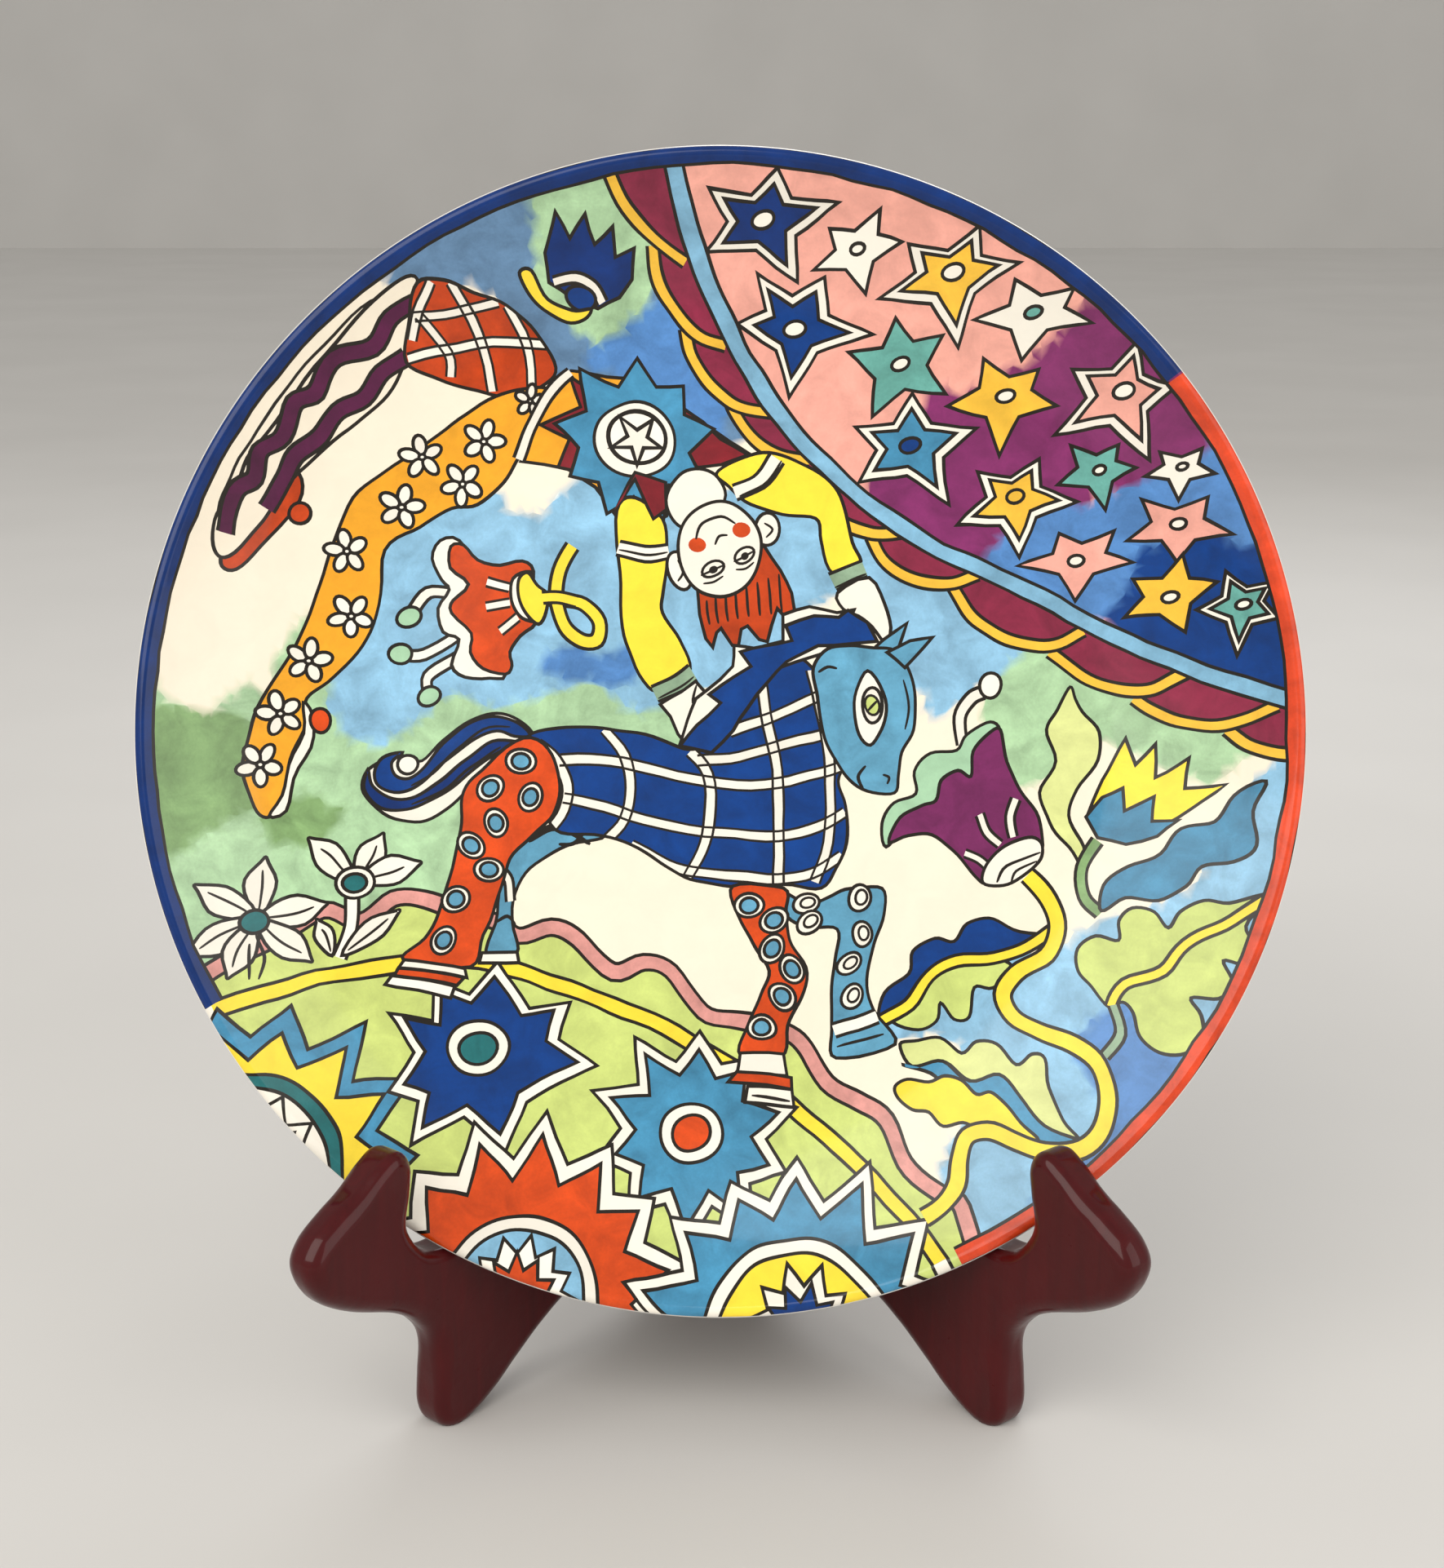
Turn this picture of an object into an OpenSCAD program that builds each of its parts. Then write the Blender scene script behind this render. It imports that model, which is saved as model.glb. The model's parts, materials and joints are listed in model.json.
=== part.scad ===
// A hand painted porcelain plate on a folding stand of two lacquered boards.
// The boards meet at a vertical pair of brass butt hinges behind the plate. Each board has a hook in
// front of the rim, a saddle that the rim sits in, an arch between two feet, and a post that the
// plate's foot ring leans on. Units are millimetres, +Z is up and the plate faces -Y.

/* [Plate] */
// Diameter over the rim
plate_d = 254; // [200:1:310]
// Height of the rim above the floor of the well
plate_rise = 18; // [12:0.5:24]
// Diameter of the flat middle of the well
well_d = 140; // [110:1:170]
// Wall thickness in the middle
wall_t = 4.5; // [3.5:0.1:6]
// Thickness of the rounded lip
lip_t = 3.6; // [2.5:0.1:5]
// Outer diameter of the foot ring
foot_ring_d = 152; // [120:1:184]
// Width of the foot ring
foot_ring_w = 4; // [3:0.1:6]
// Height of the foot ring
foot_ring_h = 3; // [2:0.1:5]
// Thickness of the painted layer under its glaze
paint_t = 0.3; // [0.2:0.05:0.5]
// Width of the bare white lip outside the painting
bare_lip = 1.2; // [0.8:0.1:3]

/* [How the plate stands] */
// Lean of the plate back from upright
lean = 15; // [10:0.5:20]
// Height of the rim's lowest point above the table
plate_clear = 29; // [26:0.5:36]
// Distance between the two places where the rim sits
seat_span = 117; // [96:1:140]
// Clearance between the plate and the stand
seat_gap = 0.4; // [0.3:0.05:1]

/* [Boards] */
// Thickness of a board
board_t = 10; // [9:0.5:13]
// Radius of the rounded long edges
edge_r = 4.2; // [2.6:0.1:4.4]
// Radius of the rounded edges round the saddle
saddle_edge_r = 2.5; // [1.5:0.1:2.6]
// Radius of the rounded edges at the tip of the hook and on the feet
tip_edge_r = 3; // [1.5:0.1:3.2]
// Angle between the open boards
opening = 80; // [70:1:90]
// Height of a post above the table
post_h = 136; // [115:1:165]
// Height of a hook's tip above the rim's seat
hook_h = 27.4; // [22:0.2:34]
// Reach of a hook's bulge in front of the rim's seat
hook_reach = 38.5; // [34:0.5:44]
// Radius of a round foot
foot_r = 6; // [5:0.1:7]
// Depth cut off under a round foot to make its sole
sole_cut = 1.2; // [0.8:0.1:2]
// Height of the arch between the feet
arch_h = 17.5; // [14:0.5:22]

/* [Hinges] */
// Height of a hinge
hinge_h = 25; // [18:0.5:30]
// Height of the lower hinge's bottom edge
low_hinge_z = 22; // [14:1:34]
// Height of the upper hinge's bottom edge
high_hinge_z = 92; // [72:1:104]
// Width of a leaf from the pin's axis
leaf_w = 9; // [7.5:0.1:9.2]
// Thickness of a leaf
leaf_t = 1; // [0.8:0.1:1.4]
// Outer radius of a knuckle
knuckle_r = 2; // [1.7:0.1:2.4]
// Radius of a pin
pin_r = 1; // [0.7:0.05:1.2]
// Number of knuckles in a hinge
knuckles = 5; // [3, 5, 7]
// Diameter of a screw's shank
screw_d = 1.8; // [1.4:0.1:2.2]
// Diameter of a screw's countersunk head
screw_head_d = 3.6; // [3:0.1:4.2]
// Length of a screw
screw_l = 10; // [7:0.5:14]

/* [Hidden] */

porcelain = "ivory";
painting = "steelblue";
lacquer = "#3a0f12";
brass = "goldenrod";

// Gaps and fits
inner_gap = 0.3;        // each board's inner face stands this far from the pin's axis
mortise_gap = 0.15;     // round a leaf in its recess
knuckle_gap = 0.15;     // between neighbouring knuckles
barrel_gap = 0.4;       // round the barrel in the boards and opposite leaf
pin_play = 0.05;        // radial play of the pin in the turning knuckles
pin_seat = 0.01;        // radial gap of the pin in the knuckles that hold it
screw_gap = 0.03;       // radial gap round a screw
arris = 0.6;            // small rounding left on the hinge edge
pin_head_h = 0.8;
pin_head_r = 1.6;
slot_w = 0.5;
slot_depth = 0.4;

// The plate's section: an arc rises from the well to the lip, in front and behind
plate_r = plate_d / 2;
lip_r = lip_t / 2;
lip_c = [plate_r - lip_r, -lip_r];
well_r = well_d / 2;
ring_r = foot_ring_d / 2;
front_slope = 2 * atan(plate_rise / (lip_c.x - well_r));
front_arc_r = (lip_c.x - well_r) / sin(front_slope) - lip_r;
back_drop = plate_rise + wall_t - lip_t;
back_slope = 2 * atan(back_drop / (lip_c.x - ring_r));
back_arc_r = (lip_c.x - ring_r) / sin(back_slope) + lip_r;
back_w = -plate_rise - wall_t;
plate_depth = plate_rise + wall_t + foot_ring_h;
ring_w = -plate_depth;

// Where the boards and the plate stand in the shared frame
half_open = opening / 2;
seat_half = seat_span / 2;
seat_drop = sqrt(plate_r * plate_r - seat_half * seat_half);
seat_u = seat_half / sin(half_open);
front_foot_u = seat_u - 2;  // centres of the round feet, forward of the pin's axis
rear_foot_u = 8;
front_u = seat_u + hook_reach;
pin_y = ((front_u - edge_r) * cos(half_open) - edge_r * sin(half_open) + edge_r
         - (board_t + inner_gap) * sin(half_open)) / 2;
plate_z = plate_clear + plate_r * cos(lean) + lip_r * sin(lean);
plate_y = pin_y - seat_u * cos(half_open) + seat_drop * sin(lean) - lip_r * cos(lean);
seat_z = plate_z - seat_drop * cos(lean) - lip_r * sin(lean);

// The post's front edge lies along the plane of the foot ring
function rest_u(z) = (pin_y - plate_y + inner_gap * sin(half_open)
    - (plate_depth + seat_gap + (z - plate_z) * sin(lean)) / cos(lean)) / cos(half_open);

// Points of an arc, and a smooth curve through a few points with its last point left out
function arc(c, r, a0, a1, n) = [for (i = [0:n]) let (a = a0 + (a1 - a0) * i / n)
    c + r * [cos(a), sin(a)]];
function tangent(p, i) = (p[min(i + 1, len(p) - 1)] - p[max(i - 1, 0)]) / 2;
function curve(p, n) = [for (i = [0:len(p) - 2], k = [0:n - 1]) let (s = k / n)
    (2 * s^3 - 3 * s^2 + 1) * p[i] + (s^3 - 2 * s^2 + s) * tangent(p, i)
    + (3 * s^2 - 2 * s^3) * p[i + 1] + (s^3 - s^2) * tangent(p, i + 1)];

// Outline of a board: u runs forward from the pin's axis, z up. The round feet dip under the table
// and are cut flat. The saddle's floor stays just clear of the rim where its rounded inner edge
// comes nearest to it.
function by_seat(s, h) = [seat_u + s, seat_z + h];
seat_turn = asin(seat_half / plate_r);
rim_slope = sin(seat_turn) * cos(lean)
    / (cos(seat_turn) * cos(half_open) + sin(seat_turn) * sin(lean) * sin(half_open));
saddle_h = saddle_edge_r * (1 + rim_slope - norm([1, rim_slope])) - seat_gap;
rest_top_z = post_h - 11;
rest_foot_z = seat_z + 16;
rest_top = [rest_u(rest_top_z), rest_top_z];
saddle = [[rest_u(rest_foot_z + 14), rest_foot_z + 14], [rest_u(rest_foot_z), rest_foot_z],
          by_seat(-28, 7), by_seat(-17, saddle_h + 1), by_seat(-6, saddle_h),
          by_seat(2, saddle_h), by_seat(6.6, saddle_h + 1.8)];
hook = [by_seat(9.6, 7), by_seat(10.4, 12), by_seat(9.6, hook_h - 10), by_seat(9, hook_h - 4.6),
        by_seat(10.6, hook_h - 1), by_seat(14, hook_h), by_seat(18, hook_h - 2),
        by_seat(23, hook_h - 5.4), by_seat(hook_reach - 9, hook_h - 8.6),
        by_seat(hook_reach - 2.6, hook_h - 13), by_seat(hook_reach, 8.6),
        by_seat(hook_reach - 3.6, 1), by_seat(hook_reach - 12, -4.8)];
front_leg = concat([[seat_u + 14, seat_z * 0.76], [seat_u + 7.4, seat_z * 0.64],
                    [seat_u + 4, seat_z * 0.5], [seat_u + 3.8, seat_z * 0.28]],
                   arc([front_foot_u, foot_r - sole_cut], foot_r, 0, -100, 2));
arch_front_u = front_foot_u - 2 * foot_r;
arch_rear_u = rear_foot_u + foot_r + 3;
arch_mid_u = (arch_front_u + arch_rear_u) / 2;
arch = concat([[arch_front_u, arch_h * 0.16], [arch_front_u - 7, arch_h * 0.42],
               [arch_front_u - 16, arch_h * 0.74], [arch_mid_u + 4, arch_h - 0.4],
               [arch_mid_u - 10, arch_h], [arch_rear_u + 7, arch_h * 0.84],
               [arch_rear_u, arch_h * 0.45]],
              arc([rear_foot_u, foot_r - sole_cut], foot_r, -5, -90, 2), [[2.5, -sole_cut], [0, 3]]);
post_top = [[0, post_h - 8], [1.4, post_h - 3], [rest_top.x * 0.42, post_h],
            [rest_top.x - 5, post_h - 3], rest_top];
outline = concat(curve(concat(saddle, hook, front_leg, arch), 4), [[0, 3], [0, post_h / 2]],
                 curve(post_top, 4), [rest_top]);
points = len(outline);

// The skin of a board is a row of rings: the outline drawn in by what the rounding takes off. The
// rounding fades to a small arris on the hinge edge, and is smaller round the saddle and the tips.
function ease(x) = let (s = max(0, min(1, x))) s * s * (3 - 2 * s);
small_edges = [[by_seat(1, saddle_h), saddle_edge_r], [by_seat(13, hook_h - 5), tip_edge_r],
               [[front_foot_u, foot_r], tip_edge_r], [[rear_foot_u, foot_r], tip_edge_r]];
function rounding(q) = min(concat(
    [arris + (edge_r - arris) * ease((q.x - 1) / 12)],
    [for (e = small_edges) e[1] + (edge_r - e[1]) * ease((norm(q - e[0]) - 6) / 9)]));
function inward(i) = let (d = outline[(i + 1) % points] - outline[(i + points - 1) % points])
    [d.y, -d.x] / norm(d);
function ring(a, outer) = [for (i = [0:points - 1])
    let (r = rounding(outline[i]), q = outline[i] + r * (1 - sin(a)) * inward(i),
         t = r * (1 - cos(a)))
    [q.x, outer ? board_t - t : t, max(q.y, 0)]];
round_steps = 5;
rings = concat([for (k = [0:round_steps]) ring(90 * k / round_steps, false)],
               [for (k = [round_steps:-1:0]) ring(90 * k / round_steps, true)]);

// Places on a hinge
hinge_zs = [low_hinge_z, high_hinge_z];
leaf_start = knuckle_r + barrel_gap;
screw_t = (leaf_start + leaf_w) / 2;
screw_zs = [0.2 * hinge_h, 0.8 * hinge_h];
knuckle_pitch = hinge_h / knuckles;
screw_r = screw_d / 2;
screw_head_r = screw_head_d / 2;
screw_head_h = screw_head_r - screw_r;

module on_right() {
    translate([0, pin_y, 0]) rotate([0, 0, half_open - 90]) children();
}

module on_left() {
    mirror([1, 0, 0]) on_right() children();
}

module on_plate() {
    translate([0, plate_y, plate_z]) rotate([90 - lean, 0, 0]) children();
}

module plate_body() {
    color(porcelain)
    on_plate() rotate_extrude($fn = 180) polygon(concat(
        [[0, -plate_rise]],
        arc([well_r, front_arc_r - plate_rise], front_arc_r, -90, front_slope - 90, 16),
        arc(lip_c, lip_r, 90 + front_slope, back_slope - 90, 12),
        arc([ring_r, back_w + back_arc_r], back_arc_r, back_slope - 90, -90, 16),
        [[ring_r, ring_w + 0.8], [ring_r - 0.8, ring_w], [ring_r - foot_ring_w + 0.8, ring_w],
         [ring_r - foot_ring_w, ring_w + 0.8], [ring_r - foot_ring_w - 1, back_w], [0, back_w]]));
}

// The painting lies on the well and runs up its side to the bare lip
module painted_face() {
    reach = asin(min(sin(front_slope), (plate_r - bare_lip - lip_r - well_r) / front_arc_r));
    bottom = arc([well_r, front_arc_r - plate_rise], front_arc_r, -90, reach - 90, 16);
    top = arc([well_r, front_arc_r - plate_rise], front_arc_r - paint_t, reach - 90, -90, 16);
    color(painting)
    on_plate() rotate_extrude($fn = 180) polygon(concat(
        [[0, -plate_rise]], bottom, top, [[0, paint_t - plate_rise]]));
}

module board() {
    count = len(rings);
    difference() {
        translate([0, inner_gap, 0]) resize([0, board_t, 0]) polyhedron(
            points = [for (one = rings) each one],
            faces = concat(
                [[for (i = [0:points - 1]) i]],
                [[for (i = [points - 1:-1:0]) (count - 1) * points + i]],
                [for (k = [0:count - 2], i = [0:points - 1]) let (j = (i + 1) % points)
                    [k * points + i, (k + 1) * points + i, (k + 1) * points + j, k * points + j]]));
        for (z = hinge_zs) translate([0, 0, z]) {
            translate([-1, -1, -mortise_gap])
                cube([1 + leaf_t, 1 + leaf_w + mortise_gap, hinge_h + 2 * mortise_gap]);
            translate([0, 0, -pin_head_h - mortise_gap])
                cylinder(r = knuckle_r + barrel_gap, h = hinge_h + 2 * (pin_head_h + mortise_gap), $fn = 48);
            at_screws() translate([0, 0, leaf_t - 0.2])
                cylinder(r = screw_r + screw_gap, h = screw_l - leaf_t + 0.5, $fn = 32);
        }
    }
}

module left_board() { color(lacquer) on_left() board(); }
module right_board() { color(lacquer) on_right() board(); }

// Stands its children on each screw's axis, with their +Z running forward into the board
module at_screws() {
    for (z = screw_zs) translate([0, screw_t, z]) rotate([0, 90, 0]) children();
}

// A leaf lies in the board's rear edge with its back face in the plane of the pin's axis. The first
// knuckle that it owns is number `first`, and it owns every other one from there.
module leaf(first, bore_r) {
    color(brass)
    difference() {
        union() {
            translate([0, leaf_start, 0]) cube([leaf_t, leaf_w - leaf_start, hinge_h]);
            for (i = [first:2:knuckles - 1])
                translate([0, 0, i * knuckle_pitch + knuckle_gap / 2]) {
                    cylinder(r = knuckle_r, h = knuckle_pitch - knuckle_gap, $fn = 48);
                    cube([leaf_t, leaf_start + 0.5, knuckle_pitch - knuckle_gap]);
                }
        }
        translate([0, 0, -1]) cylinder(r = bore_r, h = hinge_h + 2, $fn = 48);
        at_screws() {
            translate([0, 0, -0.01])
                cylinder(r1 = screw_head_r + screw_gap, r2 = screw_r + screw_gap,
                         h = screw_head_h + 0.01, $fn = 48);
            cylinder(r = screw_r + screw_gap, h = leaf_t + 1, $fn = 48);
        }
    }
}

module hinge_pin() {
    color(brass) translate([0, pin_y, 0]) {
        translate([0, 0, -pin_head_h / 2]) cylinder(r = pin_r, h = hinge_h + pin_head_h, $fn = 48);
        for (z = [0, 1]) translate([0, 0, z * hinge_h]) mirror([0, 0, 1 - z])
            translate([0, 0, -knuckle_gap / 2])
            rotate_extrude($fn = 48)
            polygon([[0, 0], [pin_head_r, 0], [pin_head_r, pin_head_h * 0.5],
                     [pin_head_r * 0.75, pin_head_h * 0.85], [0, pin_head_h]]);
    }
}

module screw() {
    difference() {
        union() {
            cylinder(r1 = screw_head_r, r2 = screw_r, h = screw_head_h, $fn = 48);
            translate([0, 0, screw_head_h - 0.01])
                cylinder(r = screw_r, h = screw_l - 2 * screw_r - screw_head_h + 0.01, $fn = 32);
            translate([0, 0, screw_l - 2 * screw_r])
                cylinder(r1 = screw_r, r2 = 0.1, h = 2 * screw_r, $fn = 32);
        }
        translate([-slot_w / 2, -screw_head_r - 1, -1]) cube([slot_w, 2 * screw_head_r + 2, 1 + slot_depth]);
    }
}

module screws() {
    color(brass) for (z = hinge_zs) translate([0, 0, z]) at_screws() screw();
}

module left_leaf(z) { on_left() translate([0, 0, z]) leaf(0, pin_r + pin_seat); }
module right_leaf(z) { on_right() translate([0, 0, z]) leaf(1, pin_r + pin_play); }

module upper_left_leaf() { left_leaf(high_hinge_z); }
module upper_right_leaf() { right_leaf(high_hinge_z); }
module upper_hinge_pin() { translate([0, 0, high_hinge_z]) hinge_pin(); }
module lower_left_leaf() { left_leaf(low_hinge_z); }
module lower_right_leaf() { right_leaf(low_hinge_z); }
module lower_hinge_pin() { translate([0, 0, low_hinge_z]) hinge_pin(); }
module left_screws() { on_left() screws(); }
module right_screws() { on_right() screws(); }

plate_body();
painted_face();
left_board();
right_board();
upper_left_leaf();
upper_right_leaf();
upper_hinge_pin();
lower_left_leaf();
lower_right_leaf();
lower_hinge_pin();
left_screws();
right_screws();
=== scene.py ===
import json
import math

import bmesh
import bpy
import numpy as np
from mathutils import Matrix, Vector, noise
from mathutils.geometry import delaunay_2d_cdt
from mathutils.kdtree import KDTree


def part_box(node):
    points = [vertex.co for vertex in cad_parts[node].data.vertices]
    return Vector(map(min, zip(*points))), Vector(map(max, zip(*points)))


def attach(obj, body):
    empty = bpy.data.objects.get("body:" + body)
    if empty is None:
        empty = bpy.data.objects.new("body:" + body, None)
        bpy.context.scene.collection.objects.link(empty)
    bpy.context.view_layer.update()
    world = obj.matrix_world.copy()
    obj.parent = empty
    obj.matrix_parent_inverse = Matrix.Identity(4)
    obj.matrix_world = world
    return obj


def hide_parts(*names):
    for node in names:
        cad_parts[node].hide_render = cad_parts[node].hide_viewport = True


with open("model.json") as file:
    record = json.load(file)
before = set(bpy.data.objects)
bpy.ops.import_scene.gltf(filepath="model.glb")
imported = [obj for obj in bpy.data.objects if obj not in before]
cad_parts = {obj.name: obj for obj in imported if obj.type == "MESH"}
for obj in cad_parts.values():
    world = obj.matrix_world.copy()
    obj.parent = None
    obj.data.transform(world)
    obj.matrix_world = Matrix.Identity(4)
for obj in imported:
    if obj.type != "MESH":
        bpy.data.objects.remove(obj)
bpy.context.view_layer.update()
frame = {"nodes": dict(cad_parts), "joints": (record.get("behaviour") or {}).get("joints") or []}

MM = 0.001
LEAN = math.radians(15)
HALF_OPEN = math.radians(40)

# The plate's section, in mm: a flat well, an arc rising from it, and a rounded lip
PLATE_R = 127
LIP_R = 1.8
WELL_R = 70
RISE = 18
WALL = 4.5
RING_R = 76
RING_W = 4
RING_H = 3

# A board's edges, in mm
BOARD_T = 10
INNER_GAP = 0.3
EDGE_R = 4.2
SADDLE_EDGE_R = 2.5
TIP_EDGE_R = 3
ARRIS = 0.6
ARRIS_RUN = 12
TIP_REACH = 6
TIP_RUN = 9
EDGE_STEPS = 8
POST_H = 136
HOOK_H = 27.4
HOOK_REACH = 38.5
FOOT_R = 6
SOLE_CUT = 1.2
ARCH_H = 17.5
SEAT_HALF = 58.5
SEAT_GAP = 0.4

# The hinges' recesses in a board, in mm
HINGE_FEET = (22, 92)
HINGE_H = 25
RECESS = (2, 10.15, 25.3)
RECESS_MIDDLE = 4.075
BARREL_R = 2.4
BARREL_H = 26.9

# The camera, in metres and degrees, and its lens in mm
CAMERA_PLACE = (0.00035, -0.50779, 0.28738)
CAMERA_PITCH = 74
CAMERA_LENS = 56.19
SENSOR_W = 36

# The floor's width and the way its far edge rises, in metres
FLOOR_W = 8
FLOOR_RISE = (0, 0.3, 3.5)

# Each soft lamp's place in metres, size, power and colour; all aim at the plate's lower middle
LAMP_AIM = (0, 0, 0.12)
LAMPS = {
    "window_light": ((-0.9, -1.3, 1.35), (1.8, 1.6), 26, (1, 0.96, 0.9)),
    "fill_light": ((1.3, -0.9, 0.7), (1.5, 1.4), 9, (1, 0.96, 0.92)),
    "back_light": ((0.3, 0.9, 0.8), (0.8, 0.6), 3, (0.95, 0.97, 1)),
}

# Where the plate's lip circle and the hinge pins stand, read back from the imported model
plate_low, plate_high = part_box("plate_body")
lip_circle = PLATE_R - LIP_R
PLATE_Y = plate_low.y / MM + lip_circle * math.sin(LEAN) + LIP_R * (1 - math.cos(LEAN))
PLATE_Z = (plate_low.z + plate_high.z) / 2 / MM + LIP_R * math.sin(LEAN)
PIN_Y = next(j for j in frame["joints"] if j["name"] == "stand_fold")["pos_m"][1] / MM


# ---------------------------------------------------------------- camera, light and floor

def add_camera():
    """A camera that stands before the plate and looks down on it a little."""
    bpy.ops.object.camera_add(location=CAMERA_PLACE,
                              rotation=(math.radians(CAMERA_PITCH), 0, 0))
    camera = bpy.context.object
    camera.data.lens = CAMERA_LENS
    camera.data.sensor_width = SENSOR_W
    camera.data.clip_start = 0.01
    bpy.context.scene.camera = camera


def add_light(name, place, size, power, colour):
    """A soft rectangular lamp, turned to the plate."""
    bpy.ops.object.light_add(type="AREA", location=place)
    lamp = bpy.context.object
    lamp.name = name
    lamp.data.shape = "RECTANGLE"
    lamp.data.size, lamp.data.size_y = size
    lamp.data.energy = power
    lamp.data.color = colour
    lamp.rotation_euler = (Vector(LAMP_AIM) - Vector(place)).to_track_quat("-Z", "Y").to_euler()


add_camera()
for lamp_name, look in LAMPS.items():
    add_light(lamp_name, *look)
bpy.context.scene.world = bpy.data.worlds.new("studio")
bpy.context.scene.world.use_nodes = True
studio = bpy.context.scene.world.node_tree.nodes["Background"]
studio.inputs["Color"].default_value = (1, 0.975, 0.94, 1)
studio.inputs["Strength"].default_value = 0.62
bpy.context.scene.view_settings.view_transform = "Standard"


# ---------------------------------------------------------------- finishes

class Amount:
    """A shader socket that takes part in Python sums: each operator adds a Math node."""

    def __init__(self, finish, socket):
        self.finish = finish
        self.socket = socket

    def sum(self, operation, *terms):
        return self.finish.node("ShaderNodeMath", {"operation": operation},
                                dict(enumerate(terms)))

    def __add__(self, other):
        return self.sum("ADD", self, other)

    def __mul__(self, other):
        return self.sum("MULTIPLY", self, other)

    def __sub__(self, other):
        return self.sum("SUBTRACT", self, other)

    def __rsub__(self, other):
        return self.sum("SUBTRACT", other, self)

    __radd__ = __add__
    __rmul__ = __mul__


class Finish:
    """A material with one Principled shader. node() makes any other node it needs."""

    def __init__(self, name, **plain):
        self.material = bpy.data.materials.new(name)
        self.material.use_nodes = True
        self.tree = self.material.node_tree
        self.shader = self.tree.nodes["Principled BSDF"]
        for socket, value in plain.items():
            self.shader.inputs[socket.replace("_", " ")].default_value = value
        self.place = self.node("ShaderNodeTexCoord", {}, {}, "Object")

    def node(self, kind, settings, sockets, output=0):
        made = self.tree.nodes.new(kind)
        for name, value in settings.items():
            if name == "stops":
                while len(made.color_ramp.elements) < len(value):
                    made.color_ramp.elements.new(0.5)
                for stop, (at, colour) in zip(made.color_ramp.elements, value):
                    stop.position = at
                    stop.color = (*colour, 1)
            else:
                setattr(made, name, value)
        for name, value in sockets.items():
            if isinstance(value, Amount):
                self.tree.links.new(value.socket, made.inputs[name])
            else:
                made.inputs[name].default_value = value
        return Amount(self, made.outputs[output])

    def feed(self, **sockets):
        for name, value in sockets.items():
            self.tree.links.new(value.socket, self.shader.inputs[name.replace("_", " ")])

    def stretched(self, scale, turn=(0, 0, 0)):
        return self.node("ShaderNodeMapping", {}, {"Vector": self.place, "Scale": scale,
                                                   "Rotation": turn})

    def clouds(self, scale, detail=3, rough=0.5, twist=0, place=None):
        return self.node("ShaderNodeTexNoise", {},
                         {"Vector": place or self.place, "Scale": scale, "Detail": detail,
                          "Roughness": rough, "Distortion": twist})

    def ramp(self, amount, *stops):
        return self.node("ShaderNodeValToRGB", {"stops": stops}, {"Fac": amount})

    def grey(self, amount, low, high, start=0.0, end=1.0):
        return self.node("ShaderNodeMapRange", {},
                         {"Value": amount, "From Min": start, "From Max": end,
                          "To Min": low, "To Max": high})

    def relief(self, height, depth, strength=1.0):
        self.feed(Normal=self.node("ShaderNodeBump", {},
                                   {"Height": height, "Distance": depth, "Strength": strength}))


def white_glaze():
    glaze = Finish("white_glaze", IOR=1.5, Coat_Roughness=0.04, Coat_IOR=1.5)
    drift = glaze.clouds(18, 2)
    glaze.feed(Base_Color=glaze.ramp(drift, (0.3, (0.83, 0.81, 0.76)), (0.7, (0.88, 0.865, 0.82))),
               Roughness=glaze.grey(glaze.clouds(160, 3), 0.1, 0.2))
    glaze.relief(glaze.clouds(70, 2), 0.00008)
    return glaze.material


def bare_clay():
    clay = Finish("bare_clay")
    speck = clay.clouds(2600, 2)
    clay.feed(Base_Color=clay.ramp(speck, (0.35, (0.42, 0.36, 0.28)), (0.5, (0.66, 0.6, 0.5)),
                                   (0.75, (0.72, 0.67, 0.58))),
              Roughness=clay.grey(clay.clouds(900), 0.75, 0.95))
    clay.relief(speck, 0.00006)
    return clay.material


def painted_glaze():
    paint = Finish("painted_glaze", IOR=1.32, Coat_Weight=0.25, Coat_Roughness=0.05, Coat_IOR=1.5)
    colour = paint.node("ShaderNodeVertexColor", {"layer_name": "paint"}, {})
    body = paint.node("ShaderNodeVertexColor", {"layer_name": "paint"}, {}, "Alpha")
    pooled = paint.clouds(110, 4, 0.6, 0.6)
    brushed = paint.clouds(140, 3, 0.55, 0.4, paint.stretched((1, 0.6, 2.2), (0, 0.9, 0)))
    speckled = paint.clouds(1900, 2)
    shade = paint.grey(pooled, 0.76, 1.24, 0.3, 0.7) * paint.grey(brushed, 0.93, 1.07, 0.3, 0.7)
    shade = shade * paint.grey(speckled, 0.96, 1.04, 0.3, 0.7)
    shade = (shade - 1) * body + 1
    mottled = paint.node("ShaderNodeVectorMath", {"operation": "SCALE"},
                         {0: colour, "Scale": shade})
    paint.feed(Base_Color=mottled, Roughness=paint.grey(paint.clouds(240), 0.12, 0.26))
    paint.relief(paint.clouds(60, 2), 0.00006)
    return paint.material


def cherry_lacquer():
    lacquer = Finish("cherry_lacquer", IOR=1.2, Coat_Weight=0.4, Coat_Roughness=0.07, Coat_IOR=1.5)
    grain = lacquer.clouds(260, 5, 0.6, 0.8, lacquer.stretched((1, 1, 0.12), (0.2, 0, 0)))
    drift = lacquer.clouds(28, 3)
    lacquer.feed(Base_Color=lacquer.ramp(grain * 0.6 + drift * 0.4,
                                         (0.3, (0.045, 0.0002, 0.001)),
                                         (0.5, (0.058, 0.0004, 0.0014)),
                                         (0.7, (0.075, 0.0009, 0.0022))),
                 Roughness=lacquer.grey(lacquer.clouds(420, 4), 0.22, 0.42))
    lacquer.relief(lacquer.clouds(150, 3), 0.00022)
    return lacquer.material


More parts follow.
